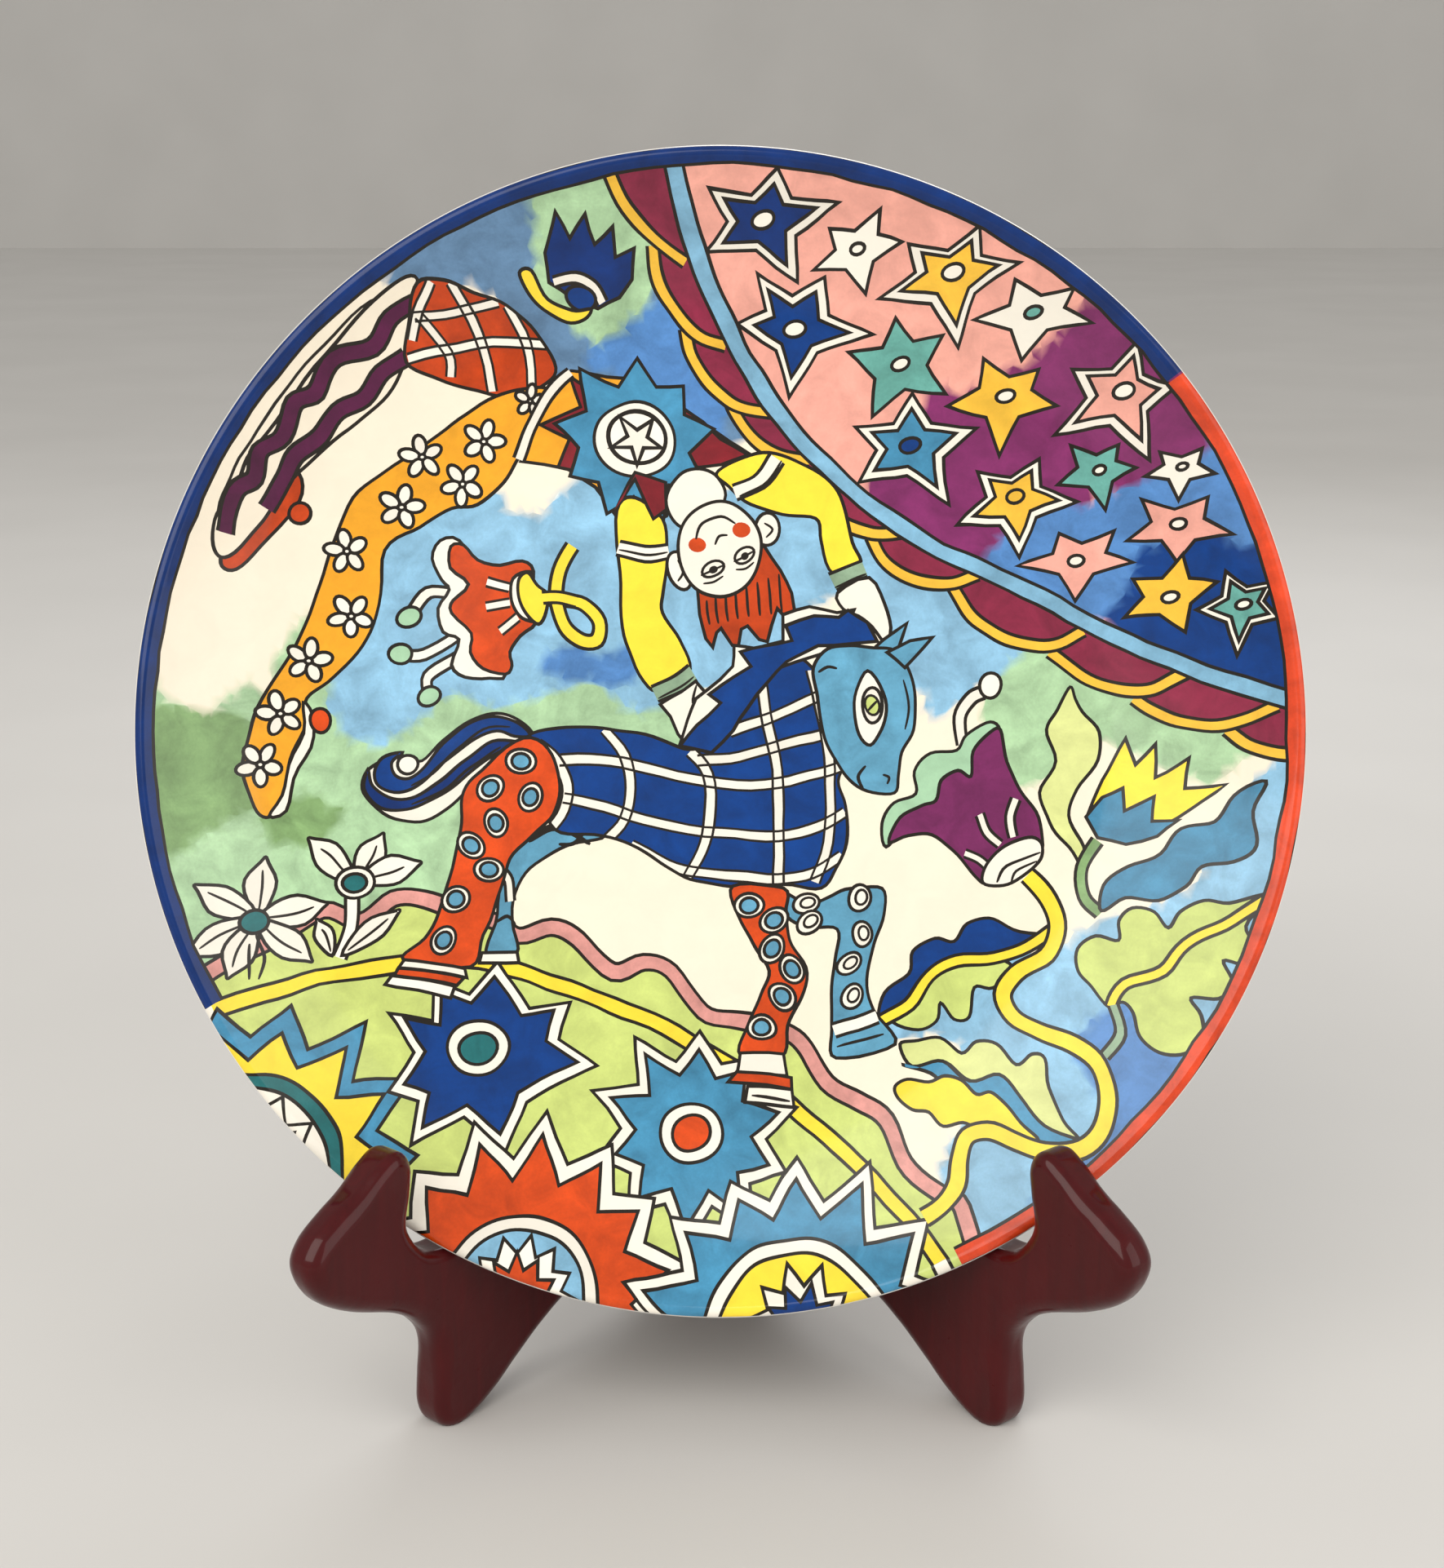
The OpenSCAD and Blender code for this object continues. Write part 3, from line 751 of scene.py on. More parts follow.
def paint_horse(art):
    """The patterned horse: a plaid body, a curled tail, a zigzag mane and spotted legs."""
    # the far legs
    art.shape("steel", (-48, -28), (-41, -22), (-34, -20), (-26, -23), (-33, -24.5), (-40, -28),
              (-45, -34), (-46.5, -42), (-45.5, -49), (-52, -49.5), (-50, -40))
    art.ribbon("white", 2, (-49.4, -30.6), (-47.4, -33), (-46.6, -37.4))
    art.pen((-43, -24), (-38, -21.4), (-33, -22), (-29, -24.6), width=1.3)
    art.pen((-36, -24.6), (-32.6, -24.4), (-30, -21.6), width=0.9)
    art.pen((-50.6, -42), (-47.6, -40.6), (-45.8, -42.4), width=0.8)
    art.shape("white", (-53, -49), (-45.5, -48.8), (-45, -51), (-53.5, -51.2), curved=False)
    art.shape("steel", (13, -35), (19, -38), (24, -36.5), (29, -34.5), (36, -34.5), (36.6, -40),
              (34.4, -47), (33, -55), (34.5, -62), (39, -69), (26, -72.5), (25.2, -66), (24.6, -58),
              (25.4, -50), (26, -43.5), (20, -43.5), (15, -41))
    for spot in ((19, -38), (20, -42.3), (31, -36.5), (31.6, -44.8), (28.6, -51.3), (29.4, -58.8)):
        art.oval("white", spot, (3, 2.3), 20 * spot[0], 0.7)
        art.oval("white", (spot[0] + 0.3, spot[1] + 0.2), (1.7, 1.2), 20 * spot[0], 0.6)
    art.ribbon("white", 3, (25.6, -66.4), (35.2, -63.2), curved=False)
    art.pen((26.2, -70), (36.6, -67), width=0.7)

    # tail: three locks that curl round a white ball
    art.shape("white", (-44, -3), (-50, -6.4), (-56, -12), (-61, -16.5), (-67, -19.8), (-74, -18.4),
              (-79.6, -13.4), (-79.4, -9), (-76, -6.2), (-70.5, -4.6), (-66.6, -6), (-62, -1.4),
              (-56, 3.2), (-50, 4.8), (-45.5, 3.6), (-42, -0.5))
    art.shape("deep_blue", (-42.6, -0.4), (-46, 3), (-51, 4), (-56.6, 2.4), (-62, -2.2), (-66, -7.6),
              (-69.6, -9.8), (-72.6, -9), (-73.4, -6.2), (-71, -3.8), (-75.6, -5.4), (-77.4, -8.6),
              (-76.4, -11.6), (-72, -12.8), (-66.6, -11), (-61.6, -6.4), (-56, -1.6), (-50, 0.4),
              (-46, -0.6))
    art.shape("navy", (-45, -2), (-51, -2), (-57, -5.6), (-62.6, -10.6), (-68, -13.8), (-73.4, -14.2),
              (-77.8, -11.6), (-78.8, -8), (-79.6, -12.4), (-76, -16.4), (-70, -16.8), (-64.6, -14.6),
              (-59.4, -11.4), (-54, -6.8), (-49.6, -4.4))
    art.pen((-47, 1.6), (-53, 1), (-59, -3.4), (-64, -9), (-69, -11.4), width=0.7)
    art.pen((-49, -3.2), (-56, -7.4), (-62, -12.6), (-69, -15.6), width=0.7)
    art.oval("white", (-69.8, -6.6), (2.3, 2.2))

    # body and neck
    art.shape("deep_blue", (-43, -0.6), (-36, 1.2), (-28, 1.6), (-20, 0.4), (-12, -1.8), (-6, -3.4),
              (-1, -2), (3, 4), (9, 12), (16, 17.4), (21.5, 14), (22.5, 6), (24.4, -1), (28, -5),
              (26.4, -10.4), (28.2, -16), (28.4, -24), (26, -30), (22.4, -34.4), (14, -33.6), (4, -34.2),
              (-5, -33), (-12, -29.6), (-20, -25), (-28, -22.4), (-37, -21.6), (-40, -14), (-40, -6))
    art.plaid("white", 2.3, (
        ((-41, -2.4), (-36.4, -5.6), (-34, -11), (-35, -17), (-38, -21.4)),
        ((-26, 1.2), (-21.4, -5), (-20, -12), (-21.4, -19), (-25, -23.4)),
        ((-6.6, -3.8), (-2.8, -9), (-2.4, -18), (-4, -26), (-7.4, -32.4)),
        ((9, 11.6), (10.4, 2), (12.6, -8), (13, -20), (13, -33.2)),
        ((20.6, 14.4), (22, 6), (24, -2), (24.4, -14), (24.4, -24), (21, -33)),
        ((-35.6, -5.6), (-27, -5.8), (-16, -7.6), (-3, -10.6), (10, -11.2), (20, -9.4), (27, -7)),
        ((-35, -14.2), (-26, -16.4), (-14, -19.8), (0, -22), (13, -22.8), (22, -20.6),
         (28, -17.6)),
        ((-20, -25), (-12, -29), (-4, -31), (6, -32), (15, -32.2), (22, -30.4), (27.4, -27)),
        ((-5, -6), (2, -5.4), (11, -3), (22.6, 0)),
        ((2, 0.6), (8, 3), (16, 5.6), (22, 8.4))))

    # the near hind leg
    art.shape("red", (-44, -1), (-37.6, -4.4), (-35.6, -11), (-37.4, -18), (-42, -22.6), (-47, -28),
              (-49.6, -36), (-53, -45), (-55.6, -52), (-70.6, -50.6), (-66, -45.6), (-62.4, -38),
              (-59.6, -28), (-58, -20), (-57.6, -13), (-53.4, -8))
    paint_spots(art, ((-44.6, -6), (-51.4, -12), (-42.2, -14), (-50, -19.6), (-55.8, -24.8),
                      (-52, -30.4), (-59.2, -37), (-62, -46.2)))
    art.shape("white", (-70.4, -50.6), (-57, -52.4), (-56.4, -54.4), (-71.6, -52.2), curved=False)
    art.shape("red", (-71.6, -52.2), (-57, -54.4), (-58.6, -56.2), (-72.6, -53.8), curved=False)
    art.shape("white", (-73, -53.6), (-59, -56.4), (-60, -59), (-74.6, -55.4), curved=False)

    # the near front leg
    art.shape("red", (2.6, -34), (14, -34.4), (14.6, -40), (15.6, -46), (19, -52), (18, -59), (15, -65),
              (13.6, -72), (4.4, -72), (6, -65), (9, -58.6), (11, -53), (7.4, -46.6), (4.4, -40.6))
    paint_spots(art, ((6.6, -38), (12, -41.6), (11.6, -48), (15.8, -52.6), (13.8, -59),
                      (9.2, -65.6)))
    art.shape("white", (4.4, -71.4), (14, -71.4), (15, -76.6), (3.4, -76.6), curved=False)
    art.shape("rust", (3.4, -75.6), (16, -77), (16, -79.6), (1.6, -77.8), curved=False)
    art.shape("white", (6, -79), (16, -79.6), (16.6, -83.2), (5.6, -82.4), curved=False)
    art.pen((7, -81), (15.6, -82), width=0.7)

    # mane: a white fringe with dark blue points on it
    art.shape("white", (-9, -2), (-5.4, 8), (0, 12), (2.6, 15), (3, 20), (8, 19), (14, 21), (14, 26.6),
              (20, 28), (26, 27), (30, 28), (27, 20), (12, 14), (2, 2), curved=False)
    art.shape("deep_blue", (-9, -2.4), (-5, 2), (0.4, 7.2), (-2.4, 9), (3, 12.6), (7, 15), (4.4, 18.4),
              (10, 19.6), (16, 21), (14.6, 24.4), (21, 26), (26.4, 26), (28.6, 27.8), (33, 25),
              (35, 20.6), (29, 20.4), (22, 20), (15, 16), (8, 9), (3, 1), (-2, -4.4), curved=False)

    # head
    art.shape("steel", (33, 18), (36.4, 21), (41.4, 24.6), (38.4, 16), curved=False)
    art.shape("steel", (21, 15), (24, 19.4), (29, 20), (34, 19.2), (38.6, 18.4), (42, 14), (43.4, 8),
              (43, 1), (40.4, -4), (39.6, -9), (38.6, -13), (33, -12.6), (28.4, -9.4), (25, -4.4),
              (22.6, 2), (21.4, 8))
    art.shape("steel", (37, 18), (42, 20.6), (47.4, 21.4), (41, 14.6), curved=False)
    art.pen((22, 14), (24, 15.4), (26, 15))
    art.pen((40.6, 12), (42, 6), (41, 1), width=0.6)
    art.pen((36, -9), (37.4, -9.6), (37, -11), width=0.6)
    art.pen((32.4, -7), (31, -9.4), (32.2, -12.2))
    art.shape("white", (32.8, 14.2), (30, 8), (30.6, 1), (33.6, -2.6), (36.4, 2), (36.8, 8))
    art.oval("white", (34, 6.4), (2.2, 4), 0)
    art.oval("lime", (34, 6.4), (1.6, 2.2), 10, 0.6)
    art.pen((33, 5), (35.2, 7.6), width=0.6)


def paint_daisy(art, centre, turn=0.0, size=1.0):
    """Five white petals round a small middle."""
    for k in range(5):
        a = math.radians(turn + 72 * k)
        spot = (centre[0] + 2.9 * size * math.cos(a), centre[1] + 2.9 * size * math.sin(a))
        art.oval("white", spot, (2.3 * size, 1.5 * size), turn + 72 * k, 0.75)
    art.oval("white", centre, (0.8 * size, 0.7 * size), 0, 0.7)


def paint_acrobat(art):
    """A doll-like tumbler in a back bend, in patched and flowered clothes."""
    # the striped leg with its rust shoe
    art.shape("rust", (-93, 57), (-92.4, 51), (-100, 42), (-106, 36.4), (-109, 37.4), (-107, 43),
              (-100, 49))
    art.oval("rust", (-92.4, 48.4), (2.4, 2.1), 30)
    art.pen((-66, 97), (-76, 93.6), (-86, 84), (-95, 73.6), (-103, 61.6), (-108, 52), (-110, 45),
            width=0.6)
    art.shape("cream", (-66, 98.6), (-71, 97.4), (-79, 90), (-90, 77), (-98, 66), (-102, 61),
              (-106, 52.6), (-110, 46.6), (-110, 40), (-107.4, 39), (-101, 45.6), (-97, 51.6), (-89, 61),
              (-80, 68.4), (-73, 74.6), (-69.4, 82), (-68, 90))
    for stripe in (((-66, 94), (-72, 90.4), (-76, 84.6), (-84, 81.6), (-88, 74.6), (-93, 71.6),
                    (-95.4, 64.6), (-100, 61.6), (-101.6, 55.6), (-105.6, 52.6), (-107.8, 44)),
                   ((-69, 83), (-74, 79.6), (-78, 73.8), (-84, 70.6), (-88, 65), (-93, 61),
                    (-95.4, 56), (-99.4, 49.4))):
        art.ribbon("plum", 3.4, *stripe)

    # the plaid thigh
    art.shape("rust", (-66, 98), (-60, 99), (-54, 96.6), (-47, 94), (-41, 88.6), (-36.4, 81), (-39, 77.4),
              (-46, 75), (-54, 76), (-62, 78.4), (-69, 82), (-68, 90))
    art.plaid("white", 2, (
        ((-63, 98.6), (-66, 92), (-67.6, 86)),
        ((-58.6, 98.6), (-53, 88), (-50.6, 76)),
        ((-47, 94), (-43, 86), (-42, 76.4)),
        ((-66, 91), (-60, 84), (-59.6, 79)),
        ((-67, 90.6), (-58, 92.4), (-49, 94.6)),
        ((-68.6, 82.6), (-60, 84.6), (-50, 86.4), (-38.6, 86))))

    # the flowered leg
    art.shape("amber", (-50, 75), (-58, 69.6), (-66, 64), (-74, 58.4), (-81, 52), (-86, 42), (-89.4, 31),
              (-94, 20), (-100, 9.6), (-104, 1), (-105.4, -8), (-103, -16), (-99.6, -18), (-97, -14),
              (-95.4, -6), (-92.4, 2), (-91.6, 8), (-86, 13), (-80, 19.4), (-76, 29), (-74.4, 41),
              (-67, 46), (-60, 50), (-54, 51.4), (-48.4, 56), (-45, 61.6), (-41.6, 69), (-38, 76),
              (-44, 76.6))
    for number, spot in enumerate(((-52.6, 65), (-66.4, 61.4), (-57.6, 55.4), (-71, 50.4),
                                   (-83, 40.6), (-82.4, 26.4), (-91.4, 16.6), (-97.6, 4.6),
                                   (-102, -6.6), (-42.4, 74))):
        paint_daisy(art, spot, 25 * number, 0.95 if number < 9 else 0.7)
    art.shape("white", (-92.4, 7), (-92.8, 0), (-95.6, -7), (-97, -13.6), (-99.6, -17.8), (-96, -17),
              (-94.6, -10), (-91, -3), (-90.6, 4), steps=3)
    art.oval("red", (-89, 3), (2.3, 2.6))

    # jacket: a blue burst on a maroon one, with a white medallion
    art.shape("amber", (-44.6, 60.6), (-41, 70), (-36.6, 78), (-33, 80.4), (-28, 80), (-20, 79),
              (-11, 75), (-4, 69.4), (2, 65), (7, 62), (0, 60), (-9, 59.6), (-12, 54), (-12, 48.6),
              (-17, 46), (-23.6, 49), (-28, 55), (-34, 59.4), curved=False)
    art.shape("crimson", (-33, 79), (-27, 75.4), (-19, 79), (-11, 75), (-4, 69.6), (0, 65.6), (6.4, 62),
              (0, 60), (-10, 59.4), (-12, 53), (-14, 47), (-19, 55), (-23.6, 49), (-26, 52), (-27.6, 58),
              (-36, 59.6), (-33.6, 65.4), (-40, 69), (-31, 73), curved=False)
    art.burst("teal_blue", (-19, 65.4), 18, 12.6, 9, 8, uneven=0.1)
    art.oval("white", (-19, 65.4), (9, 8.4))
    art.oval("white", (-18.6, 66), (6.3, 5.8), ink=1.0)
    art.burst("white", (-18.6, 65.6), 5.8, 2.2, 5, 270, ink=0.9)
    art.ribbon("white", 2.3, (-45, 61), (-42.4, 68), (-38.4, 75), (-33, 80))

    # near arm
    art.shape("yellow", (-23.4, 50), (-19, 52.6), (-13, 48), (-12, 40), (-12.6, 32), (-12.8, 27),
              (-9, 21), (-6.8, 14.4), (-11, 11.6), (-15.4, 10), (-19.4, 16.6), (-21.8, 24), (-22.4, 36))
    art.shape("crimson", (-24, 50), (-19, 56.4), (-15, 48), (-12, 50), (-12, 56), (-19, 58), curved=False)
    art.ribbon("white", 3.2, (-22.8, 41.4), (-17, 40), (-11.6, 40.6))
    art.pen((-22.6, 41), (-17, 39.8), (-11.8, 40.4), width=0.6)
    art.ribbon("sage", 3.8, (-14.8, 9), (-10.4, 11), (-6.2, 13.6))
    art.pen((-14, 8), (-10, 10.2), (-6, 12.8), width=0.6)
    art.shape("white", (-13.6, 6.6), (-9, 9.4), (-5.6, 11.8), (-1.4, 7.4), (-5, 4.6), (-8, -1.6),
              (-9.6, 0), (-11.4, 3.6), curved=False)
    art.pen((-5.4, 11), (-6, 7), (-3.6, 4.8), width=0.7)

    # far arm
    art.shape("yellow", (-1, 58), (4, 61), (11, 62.6), (18, 60.4), (24.6, 56), (27.6, 50), (29.4, 43),
              (31, 38), (25.2, 36), (22.6, 43), (21.4, 48), (14, 49), (7, 51), (2, 55))
    art.ribbon("white", 3.4, (3.4, 53.6), (8.6, 56), (12.6, 61.4))
    art.pen((4.6, 52.8), (9.6, 55.4), (13.6, 61), width=0.6)
    art.ribbon("sage", 3.8, (25, 34), (28.6, 35.6), (32, 37))
    art.pen((25.4, 32.8), (29, 34.4), (32.4, 35.8), width=0.6)
    art.shape("white", (26, 31.6), (33, 35), (36.4, 29), (38, 23.6), (36.6, 20.4), (34, 24), (31, 26.6),
              (27.4, 28), steps=3)

    # neck, ears, head and hair
    art.shape("white", (-12, 52), (-9, 58), (-4.6, 59.4), (-0.6, 57), (1, 52), (-6, 46), (-10, 47))
    art.oval("white", (-9.2, 36.4), (2.6, 4.2), 20)
    art.oval("white", (10.4, 45.6), (2.9, 3.6), -10)
    art.pen((-9.6, 38.6), (-8.4, 36), (-9.6, 34), width=0.6)
    art.pen((9.6, 47), (11.6, 45.6), (10, 43.8), width=0.6)
    art.shape("rust", (-5.2, 33), (-4.6, 27), (-3, 21.4), (-1.6, 19.4), (-0.6, 23), (0.4, 24), (2.6, 20),
              (4, 19.6), (5, 23.4), (6.4, 24), (8.8, 21), (10.6, 20.6), (11.6, 24.4), (12.6, 28),
              (14.4, 26.2), (16.8, 26.6), (16, 31), (13.4, 36.4), (9.6, 42), (3, 36), curved=False)
    for x in (-3, -1, 1.2, 3.4, 5.8, 8.2, 10.6, 13):
        art.pen((x, 31 + 0.35 * x), (x + 0.2, 28 + 0.2 * x), (x + 0.8, 25.2 + 0.15 * x), width=0.65)
    art.oval("white", (-0.2, 41.2), (9.3, 10.6))
    art.oval("red", (-5.4, 41.8), (1.9, 1.6), 0, 0)
    art.oval("red", (4.6, 45.6), (2, 1.7), 0, 0)
    art.pen((-5.6, 43), (-4, 46.8), (0, 48.4), (3.4, 47), width=0.7)
    art.pen((-1.6, 42), (-0.6, 44), (1.4, 44.4), width=0.6)
    for x, y in ((-1.8, 36.6), (5.2, 39.8)):
        art.oval("white", (x, y), (2.5, 1.7), 28, 0.65)
        art.oval("ink", (x + 0.1, y - 0.2), (1, 0.9), 25, 0)
        art.pen((x - 2.6, y - 1.4), (x - 0.4, y - 0.5), (x + 2.4, y + 1), width=0.6)
        art.pen((x - 2, y - 3.2), (x + 0.4, y - 3), (x + 2.4, y - 1.6), width=0.55)


def paint_bell_flower(art):
    """The red bell flower on the left, with green-tipped stamens and a looped stem."""
    for tip, foot, bend in (((-69.4, 26), (-60, 31.6), (-65, 31.6)),
                            ((-71.6, 18), (-58, 22.6), (-66, 18)),
                            ((-65, 8.6), (-59, 17), (-65.4, 13))):
        art.ribbon("white", 2.4, foot, bend, tip)
        art.oval("mint", tip, (2.7, 2.1), 25)
    art.shape("white", (-58, 43), (-62.4, 43), (-64.4, 39), (-62, 34.6), (-60.4, 32.4), (-63, 28),
              (-62, 23), (-58.6, 21), (-60, 15.6), (-57, 12.8), (-51.6, 12.4), (-48, 13.4), (-52, 24),
              (-54, 36), steps=3)
    art.shape("red", (-60, 41.6), (-57, 42), (-54, 38.6), (-49, 37.4), (-44, 38.4), (-41.4, 36.4),
              (-42, 30), (-41, 25), (-44.4, 22), (-47, 18.6), (-46.6, 15.6), (-48, 13.4), (-53, 14.6),
              (-56, 18), (-55.6, 22.4), (-60, 27), (-59.6, 30), (-56, 33.4), (-60, 37), steps=3)
    for a, b in (((-52, 34), (-47, 32.6)), ((-52.4, 28.6), (-47, 29.2)), ((-49, 23), (-45, 26))):
        art.ribbon("white", 1.9, a, b, ink=0.6)
    art.shape("white", (-41.6, 36), (-46, 34.6), (-46.6, 29.6), (-44, 25.8), (-40, 25.4), (-43, 30))
    art.shape("yellow", (-42.6, 36), (-40.6, 33.4), (-38.6, 31.4), (-38.8, 27.8), (-40.6, 24.6),
              (-43.6, 27.4), (-45, 31), (-44.6, 34.6))
    art.ribbon("yellow", 2.9, (-35, 30), (-30.6, 29), (-27, 25), (-27.6, 21), (-31, 20.6), (-35, 24),
               (-36.6, 30), (-35.8, 36.6), (-33, 42))
    art.ribbon("yellow", 2.7, (-39.6, 30.4), (-36, 30.6), (-32, 29.6))


def paint_vine(art):
    """The purple bell on its winding yellow stem, with the leaves along it."""
    art.shape("pale_lime", (40, -69), (44, -68.4), (49, -68), (53.6, -71), (57, -68.4), (61.6, -69),
              (65.6, -73.4), (69, -71), (72, -71.8), (72.6, -78), (75, -84.6), (78, -88.6), (71, -86),
              (66, -80), (62, -75.6), (56, -77), (50, -73.4), (43, -74))
    art.shape("teal_blue", (41, -73.6), (44, -74), (49.4, -73.2), (55.6, -77), (62, -75.6), (66.4, -80.4),
              (71, -86), (78.4, -89), (72, -90.4), (67, -88.4), (63, -82), (57, -80.6), (51, -79),
              (47, -75.6))
    art.shape("yellow", (39, -78.6), (42, -76.8), (46.6, -77.4), (50, -76.2), (54, -77), (57, -79.8),
              (60, -79.4), (63, -82), (66, -85.6), (69.6, -89), (65, -88.6), (60.6, -86), (57, -86.8),
              (53.6, -85.8), (49.4, -87), (46.6, -84.2), (42.6, -83.8), (39.6, -81.4))
    art.shape("lime", (38, -63.6), (44, -66), (48, -64), (49, -60), (52, -63.6), (55.6, -63), (57, -56.6),
              (61, -56.6), (65.4, -52), (57, -49), (49, -52), (43.6, -58))
    art.shape("deep_blue", (35.6, -64), (37, -58), (42, -53.6), (43, -48.6), (48, -45.8), (52.4, -46.6),
              (55, -42.4), (60, -41), (65.4, -43.6), (73, -45), (67, -49), (57, -50), (49, -53),
              (43, -59.4), (39, -63))
    art.ribbon("yellow", 2.5, (36, -64.4), (42, -60.4), (46.6, -54), (53, -51), (61, -50), (67, -48),
               (74, -43.6))
    art.ribbon("sage", 2.2, (87, -60), (88, -66), (84.6, -71))
    art.ribbon("yellow", 3.7, (68.4, -31.6), (73.4, -37), (75.2, -43), (72.6, -49), (66, -53.4),
               (63, -58), (65.4, -63), (71, -66), (78, -68.6), (83.4, -73), (84.8, -79.6), (83, -86),
               (78.6, -90.4), (71, -91.4), (64.6, -89.6), (59, -87.6), (54.6, -88.8), (52.6, -93.6),
               (51.8, -99), (49, -103.2), (44.6, -106))

    art.ribbon("white", 2.5, (54, -2.6), (53.4, 4), (56, 8), (58.6, 9.4))
    art.oval("white", (60.4, 11), (2.3, 2.8), -20)
    art.shape("mint", (37.2, -25), (36, -20), (38.6, -15.4), (43.6, -13.4), (43.4, -8.6), (46.8, -4.2),
              (52.6, -3.8), (55, -0.2), (60.2, 2.8), (62.4, 0), (58, -8), (48, -16), (42, -20))
    art.shape("purple", (37.8, -24), (40, -18.8), (45, -16), (48, -14.8), (49.4, -10.4), (53, -8.2),
              (56, -9.4), (56.6, -4), (60, 0.2), (62.6, 1), (63.6, -6), (67, -12.6), (71, -19), (72, -26),
              (66, -30), (60, -33.8), (56.6, -32), (52, -26.4), (47, -22.4), (42, -22.6))
    for a, b, c in (((54.4, -26.8), (57.6, -28), (60, -30)),
                    ((57.6, -18), (59.4, -21.6), (62.6, -24.4)),
                    ((66, -14.6), (64.8, -18.6), (65.6, -22.8))):
        art.ribbon("white", 1.9, a, b, c, ink=0.7)
    art.shape("white", (58.6, -33.6), (59.4, -29.4), (63.6, -24.8), (69, -23), (72, -24.4), (71.4, -28),
              (67.6, -31.6), (63, -34))
    art.pen((61.6, -33.4), (64, -29.4), (71.6, -26.4), width=0.7)
    art.pen((64.6, -33.6), (66, -30.6), (70.6, -28.4), width=0.6)


def paint_right_leaves(art):
    """The leaves on the right, and a yellow tulip among them."""
    art.shape("pale_lime", (78, 10.4), (75, 5.4), (72.6, 1), (74.6, -6), (71.2, -13), (73.6, -20),
              (78, -25), (80.6, -30.6), (81, -25), (77.6, -18), (79.6, -12), (84, -5.6), (84.4, 0.6),
              (81, 4.6), (79.2, 7.6))
    art.ribbon("moss", 2.6, (84, -24), (80.4, -29.6), (81, -36), (84.4, -40))
    art.shape("yellow", (82, -17.4), (85, -10), (90, -1), (92.2, -7), (96.4, -2.4), (96.4, -9.6),
              (103.6, -5.4), (102.6, -12), (111, -11), (104, -16.4), (99, -20), curved=False)
    art.shape("teal_blue", (81.4, -18.4), (85, -14), (89.6, -11.8), (89.8, -17), (96.4, -13.8),
              (95.8, -19.4), (101.4, -19), (97, -22.8), (90, -24.6), (84, -23.4), curved=False)
    art.shape("teal_blue", (118.6, -10), (112.4, -13.6), (108.6, -19.4), (102, -21), (97.6, -26.6),
              (90.6, -29.6), (85.4, -33.6), (84.6, -39.4), (90, -36.4), (97, -36.8), (102.6, -33.4),
              (106, -29), (112.4, -28), (116.6, -24.4), (116.4, -17))
    art.shape("lime", (118.4, -34.6), (111, -36.8), (106, -36.4), (101.4, -39), (98.6, -42.6),
              (96, -39.4), (91.4, -38.6), (88.2, -41.4), (88, -45.6), (83.4, -44.6), (79.8, -47.4),
              (79.6, -52.6), (82.6, -56), (86, -60.6), (89, -59.2), (91, -61.4), (92, -66), (95.8, -69.6),
              (100.8, -69.8), (104.8, -66.4), (104.6, -61), (102.8, -57.4), (108, -57.4), (111, -53.8),
              (109.6, -49.4), (113.6, -49.6), (115.8, -45.8), (114.4, -41.6))
    art.ribbon("yellow", 2.3, (86.4, -60.4), (89.4, -55), (97, -52), (102, -46), (110, -41.6),
               (118, -35.6))


def paint_halo_tulip(art):
    """The blue tulip at the top, over its curled yellow stem."""
    art.shape("navy", (-37.6, 99), (-38.4, 105), (-35.6, 113), (-32.6, 108), (-29.4, 113), (-27.4, 107),
              (-23.4, 111), (-23, 104.4), (-19, 106.4), (-19.6, 100), (-22.4, 96), (-27, 94), (-33, 96),
              curved=False)
    art.ribbon("white", 2.2, (-36.6, 99), (-32, 100), (-28, 98.4), (-26, 95))
    art.oval("deep_blue", (-30.8, 96), (3.4, 2.4), -10)
    art.shape("yellow", (-44, 101), (-42.4, 97.4), (-39, 93.4), (-34, 91), (-30, 92), (-28.6, 94),
              (-33, 93.6), (-38, 95.6), (-41.4, 101.4))


